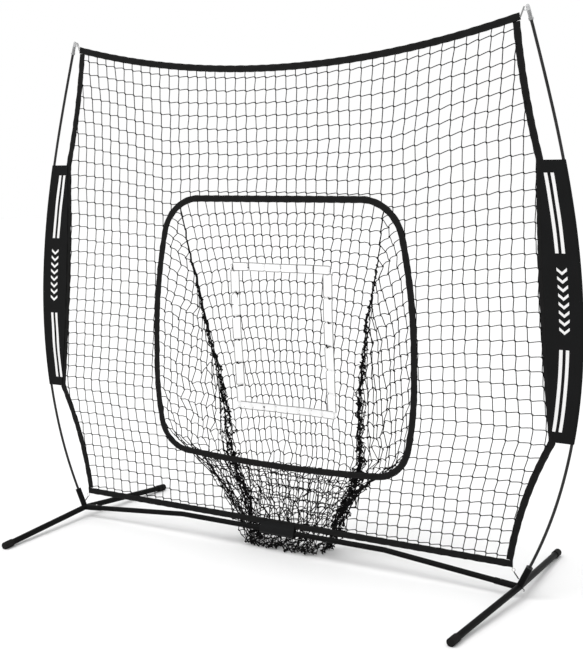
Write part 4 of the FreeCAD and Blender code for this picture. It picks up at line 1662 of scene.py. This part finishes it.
@dataclass
class Sleeve:
    """Fabric sleeve from the side border round the pole and back."""

    side: Side
    pole: PoleLine = field(default_factory=PoleLine)
    overlap: float = 0.009
    channel: float = 0.0079
    sheet: float = 0.0010
    seam_gap: float = 0.0024
    wrinkle: float = 0.0016
    # The rectangle that the cloth is cut from, and the shares of it round the pole.
    cut: tuple = (0.32, 1.0)
    turn_from: float = 0.40
    turn_to: float = 0.60
    cells: tuple = (120, 40)

    def section(self, z: np.ndarray, across: np.ndarray) -> tuple[np.ndarray, np.ndarray, np.ndarray]:
        """One point of the sleeve's cross-section.

        Args:
            z: Heights.
            across: Share from the back layer's edge round the pole to the front layer's edge.

        Returns:
            x on the right-hand side, y, and the distance in from the pole's outer side, negative behind.
        """
        line = LAYOUT.side(Side.RIGHT, LAYOUT.band)
        inner = np.interp(-z, -line[:, 1], line[:, 0]) - self.overlap
        centre = self.pole.x_at(z)
        turn = np.clip((across - self.turn_from) / (self.turn_to - self.turn_from), 0, 1) * math.pi
        back = np.clip(across / self.turn_from, 0, 1)
        front = np.clip((1 - across) / self.turn_from, 0, 1)
        flat = np.where(across < 0.5, back, front)
        sign = np.where(across < 0.5, 1.0, -1.0)
        on_pole = (across > self.turn_from) & (across < self.turn_to)
        x = np.where(on_pole, centre + self.channel * np.sin(turn), inner + (centre - inner) * flat)
        rise = self.seam_gap + (self.channel - self.seam_gap) * flat ** 3
        y = np.where(on_pole, self.channel * np.cos(turn), sign * rise)
        inward = centre + self.channel - x
        return x, y, np.where(across < 0.5, -inward - 0.001, inward)

    def place(self, along: np.ndarray, across: np.ndarray) -> np.ndarray:
        """Places of the sleeve's points.

        Args:
            along: Shares along the piece, 0 to 1.
            across: Shares across the piece, 0 to 1.

        Returns:
            The places, one per row.
        """
        tall = LAYOUT.sleeve_top - LAYOUT.sleeve_bottom
        z = LAYOUT.sleeve_top - along * tall
        x, y, inward = self.section(z, across)
        sign = np.where(across < 0.5, 1.0, -1.0)
        free = np.clip(np.abs(across - 0.5) / 0.1 - 1.2, 0, 1) * np.clip(np.abs(inward) / 0.03, 0, 1)
        folds = waves(np.column_stack([x * 3.0, y * 0, z]), 9.0, 6.0 + self.side.value)
        pull = np.sin(TURN * (z * 6.0 + np.abs(inward) * 9.0)) * 0.35
        y = y + sign * free * self.wrinkle * (folds[:, 1] + pull + 0.6)
        return np.column_stack([x * self.side.value, y, z])

    def measure(self, along: np.ndarray, across: np.ndarray) -> np.ndarray:
        """Cloth coordinates: down the sleeve, and in from the pole.

        Args:
            along: Shares along the piece, 0 to 1.
            across: Shares across the piece, 0 to 1.

        Returns:
            The cloth coordinates in metres.
        """
        tall = LAYOUT.sleeve_top - LAYOUT.sleeve_bottom
        _, _, inward = self.section(LAYOUT.sleeve_top - along * tall, across)
        return np.column_stack([along * tall, inward])

    def flat_area(self) -> float:
        """Area of the cloth before it is folded round the pole.

        Returns:
            The area in square metres.
        """
        z = np.linspace(LAYOUT.sleeve_bottom, LAYOUT.sleeve_top, 60)
        line = LAYOUT.side(Side.RIGHT, LAYOUT.band)
        inner = np.interp(-z, -line[:, 1], line[:, 0]) - self.overlap
        girth = 2 * (self.pole.x_at(z) - inner) + math.pi * self.channel
        return float(girth.mean() * (z[-1] - z[0]))

    def build(self) -> bpy.types.Object:
        """Model the sleeve.

        Returns:
            What was made.
        """
        name = "sleeve_cloth_" + self.side.word
        piece = cloth_piece(name, self.cells, self.place, self.measure, self.sheet, 0.0)
        dress(piece, finish_of(Slot.OXFORD))
        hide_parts("sleeve_" + self.side.word)
        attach(piece, Body.FRAME.value)
        self.flat_area()
        return piece


@dataclass
class Wrap:
    """Hook-and-loop wrap that holds the bottom border to the cross bar."""

    half: float = 0.083
    sheet: float = 0.0018
    # Section of each part as (y, z), from its top edge or its hinge.
    body_line: tuple = ((0.0042, 0.1275), (0.0048, 0.112), (0.0120, 0.102), (0.0137, 0.090), (0.0136, 0.0765),
                        (0.0, 0.0748), (-0.0115, 0.0752))
    flap_line: tuple = ((-0.0138, 0.0772), (-0.0144, 0.091), (-0.0122, 0.1035), (-0.0052, 0.113),
                        (-0.0044, 0.1275))

    def part(self, name: str, section: tuple, body: Body, node: str) -> bpy.types.Object:
        """One cloth of the wrap.

        Args:
            name: The piece's name.
            section: Its (y, z) line.
            body: The body it rides on.
            node: The frame's node that it stands for.

        Returns:
            The piece.
        """
        line = even(smoothed(np.array(section)), 200)
        long = length_of(line)

        def place(along: np.ndarray, across: np.ndarray) -> np.ndarray:
            """Places of the points for their shares of the length and width.

            Args:
                along: Shares along the piece, 0 to 1.
                across: Shares across the piece, 0 to 1.

            Returns:
                The places, one per row.
            """
            y, z = (np.interp(across, np.linspace(0, 1, len(line)), line[:, k]) for k in (0, 1))
            x = (along * 2 - 1) * (self.half - 0.0012 * (across * 2 - 1) ** 2)
            bumps = waves(np.column_stack([x, y, z]), 26.0, 8.2)
            y = y + 0.0005 * bumps[:, 1]
            return np.column_stack([x, y, z])

        def measure(along: np.ndarray, across: np.ndarray) -> np.ndarray:
            """Cloth coordinates in metres for the same shares."""
            return np.column_stack([along * 2 * self.half, across * long])

        piece = cloth_piece(name, (44, 26), place, measure, self.sheet, 0.0006)
        dress(piece, finish_of(Slot.WRAP))
        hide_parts(node)
        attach(piece, body.value)
        log.info("%s flat %.3f x %.3f", name, 2 * self.half, long)
        return piece

    def build(self) -> list[bpy.types.Object]:
        """Model the wrap's body and its opening flap."""
        return [self.part("wrap_cloth", self.body_line, Body.FRAME, "wrap_body"),
                self.part("wrap_flap_cloth", self.flap_line, Body.FLAP, "wrap_flap")]


# ----------------------------------------------------------------------------------------------
# Cords
# ----------------------------------------------------------------------------------------------

@dataclass
class Cords:
    """Tie cords at the bottom corners and cord loops at the top ones."""

    tie_points: tuple = ((1.0240, 0.0, 0.09635), (1.0335, 0.0, 0.0843), (1.0429, 0.0, 0.0723))
    tie_diameter: float = 0.0045
    # Up from the net's corner, round the cap's hook and back down.
    loop_points: tuple = ((1.0042, -0.0037, 2.0920), (1.0150, -0.0037, 2.1203), (1.0177, -0.0037, 2.1272),
                          (1.0177, 0.0037, 2.1272), (1.0150, 0.0037, 2.1203), (1.0042, 0.0037, 2.0920))
    loop_diameter: float = 0.003
    loop_length: float = 0.080

    def curve(self, name: str, points: Sequence[Sequence[float]], diameter: float) -> bpy.types.Object:
        """A smooth round cord along its route's control points.

        Args:
            name: The name of what is made.
            points: The places.
            diameter: The cord's diameter.

        Returns:
            The cord.
        """
        data = bpy.data.curves.new(name, "CURVE")
        data.dimensions = "3D"
        data.bevel_depth = diameter / 2
        data.bevel_resolution = 4
        data.use_fill_caps = True
        data.resolution_u = 8
        spline = data.splines.new("NURBS")
        spline.points.add(len(points) - 1)
        for point, place in zip(spline.points, points):
            point.co = (*place, 1.0)
        spline.order_u = 3
        spline.use_endpoint_u = True
        piece = bpy.data.objects.new(name, data)
        bpy.context.collection.objects.link(piece)
        return piece

    def tie(self, side: Side) -> bpy.types.Object:
        """The elastic from the corner ring to the pole socket.

        Args:
            side: Left or right.

        Returns:
            The piece.
        """
        points = [(side.value * x, y, z) for x, y, z in self.tie_points]
        name = "tie_elastic_" + side.word
        piece = self.curve(name, points, self.tie_diameter)
        dress(piece, finish_of(Slot.ELASTIC))
        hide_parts("tie_cord_" + side.word)
        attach(piece, Body.FRAME.value)
        return piece

    def loop(self, side: Side) -> bpy.types.Object:
        """The loop from the net's top corner round the cap's hook and back.

        Args:
            side: Left or right.

        Returns:
            The piece.
        """
        points = [(side.value * x, y, z) for x, y, z in self.loop_points]
        name = "corner_cord_" + side.word
        piece = self.curve(name, points, self.loop_diameter)
        dress(piece, finish_of(Slot.GREY_CORD))
        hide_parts("corner_loop_" + side.word)
        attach(piece, Body.FRAME.value)
        return piece

    def build(self) -> list[bpy.types.Object]:
        """Model the tie cords and the corner loops."""
        return [self.tie(side) for side in Side] + [self.loop(side) for side in Side]


# ----------------------------------------------------------------------------------------------
# Finishes of the frame's own nodes
# ----------------------------------------------------------------------------------------------

FINISHES = {
    "black_powder_coat": PowderCoat(),
    "black_rubber": Rubber(),
    "black_plastic": MouldedPlastic(),
    "bright_steel": BareSteel("bright_steel", 0.72, 0.14),
    "spring_steel": BareSteel("spring_steel", 0.36, 0.26),
    "dark_ferrule_steel": BareSteel("dark_ferrule_steel", 0.12, 0.3),
    "black_fibreglass": Fibreglass(),
    "clear_plastic": ClearPlastic(),
    Slot.GREY_CORD.value: BraidedCord(Slot.GREY_CORD.value, 0.16, 0.42),
    Slot.ELASTIC.value: BraidedCord(Slot.ELASTIC.value, 0.008, 0.045),
    Slot.NETTING.value: KnottedTwine(),
    Slot.WEBBING.value: WovenWebbing(Slot.WEBBING.value, 0.027, 0.005, 0.014, 0.024),
    # The white straps get a wider, stronger band of painted shade along their edges.
    Slot.STRAP.value: WovenWebbing(Slot.STRAP.value, 0.044, 0.88, 0.96, 0.80, soil=0.03,
                                  edge_shade_width=0.0046, rim=0.95),
    Slot.OXFORD.value: PrintedOxford(),
    Slot.WRAP.value: HookAndLoop(),
}
MADE: dict[str, bpy.types.Material] = {}


def finish_of(slot: Union[Slot, str]) -> bpy.types.Material:
    """The material of a slot, made once.

    Args:
        slot: The material slot or its name.

    Returns:
        The material.
    """
    key = slot.value if isinstance(slot, Slot) else slot
    if key not in MADE:
        MADE[key] = FINISHES[key].material()
    return MADE[key]


def dress_frame() -> None:
    """Give every node of the frame that stays in view its finish, by its material slot."""
    slots = {part["node"]: part["material_slot"] for part in frame["record"]["subparts"]}
    for name, node in frame["nodes"].items():
        for place in node.material_slots:
            place.material = finish_of(slots[name])


# ----------------------------------------------------------------------------------------------
# Studio
# ----------------------------------------------------------------------------------------------

@dataclass
class Studio:
    """Camera, pale floor and soft lights."""

    eye: tuple = (2.482, -3.984, 1.539)
    yaw: float = 31.20
    pitch: float = -7.32
    roll: float = -0.22
    lens: float = 64.1
    floor_size: float = 60.0
    sun_place: tuple = (-0.30, -0.35, 1.0)
    sun_power: float = 1.1
    sun_width: float = 50.0

    def camera(self) -> None:
        """Set up the camera."""
        data = bpy.data.cameras.new("camera")
        data.lens = self.lens
        data.sensor_width = 36.0
        data.clip_end = 200.0
        camera = bpy.data.objects.new("camera", data)
        bpy.context.collection.objects.link(camera)
        turn = (Matrix.Rotation(math.radians(self.yaw), 4, "Z")
                @ Matrix.Rotation(math.radians(90 + self.pitch), 4, "X")
                @ Matrix.Rotation(math.radians(self.roll), 4, "Z"))
        camera.matrix_world = Matrix.Translation(self.eye) @ turn
        bpy.context.scene.camera = camera

    def floor(self) -> None:
        """Lay a plain pale floor."""
        deselect()
        bpy.ops.mesh.primitive_plane_add(size=self.floor_size)
        floor = bpy.context.object
        floor.name = "studio_floor"
        graph = Graph("studio_floor")
        where = graph.points()
        cloud = graph.noise(where, 0.8, 3.0)
        dress(floor, graph.finish(graph.blend(cloud, grey(0.80), grey(0.815)), 0.6 + cloud * 0.1))

    def lamp(self, name: str, place: tuple, aim: tuple, size: float, power: float) -> None:
        """Hang one soft lamp.

        Args:
            name: The name of what is made.
            place: Where it hangs.
            aim: What it points at.
            size: Width of the lamp.
            power: Its power in watts.
        """
        data = bpy.data.lights.new(name, "AREA")
        data.shape = "SQUARE"
        data.size = size
        data.energy = power
        lamp = bpy.data.objects.new(name, data)
        lamp.location = place
        lamp.rotation_euler = (Vector(aim) - Vector(place)).to_track_quat("-Z", "Y").to_euler()
        bpy.context.collection.objects.link(lamp)

    def build(self) -> None:
        """Set up everything."""
        self.camera()
        self.floor()
        world = bpy.data.worlds.new("studio")
        world.use_nodes = True
        back = world.node_tree.nodes["Background"]
        back.inputs["Color"].default_value = (1.0, 1.0, 1.0, 1.0)
        back.inputs["Strength"].default_value = 1.0
        bpy.context.scene.world = world
        bpy.context.scene.view_settings.view_transform = "Standard"
        sun = bpy.data.lights.new("sun", "SUN")
        sun.energy = self.sun_power
        sun.angle = math.radians(self.sun_width)
        lamp = bpy.data.objects.new("sun", sun)
        lamp.rotation_euler = Vector(self.sun_place).to_track_quat("Z", "Y").to_euler()
        bpy.context.collection.objects.link(lamp)
        self.lamp("key", (-1.5, -2.5, 5.0), (0.0, 0.2, 0.6), 2.2, 60.0)


# ----------------------------------------------------------------------------------------------
# Main
# ----------------------------------------------------------------------------------------------

def main() -> None:
    """Build every class in order, and report each piece."""
    Studio().build()
    dress_frame()
    pocket = Pocket()
    made = [*Cords().build(), MainNet().build(), *pocket.build(), *StrikeZone(pocket).build(),
            *Webbing().build(), *(Sleeve(side).build() for side in Side), *Wrap().build()]
    for piece in made:
        log.info("%s: %d faces", piece.name, len(getattr(piece.data, "polygons", [])))


if __name__ == "__main__":
    main()
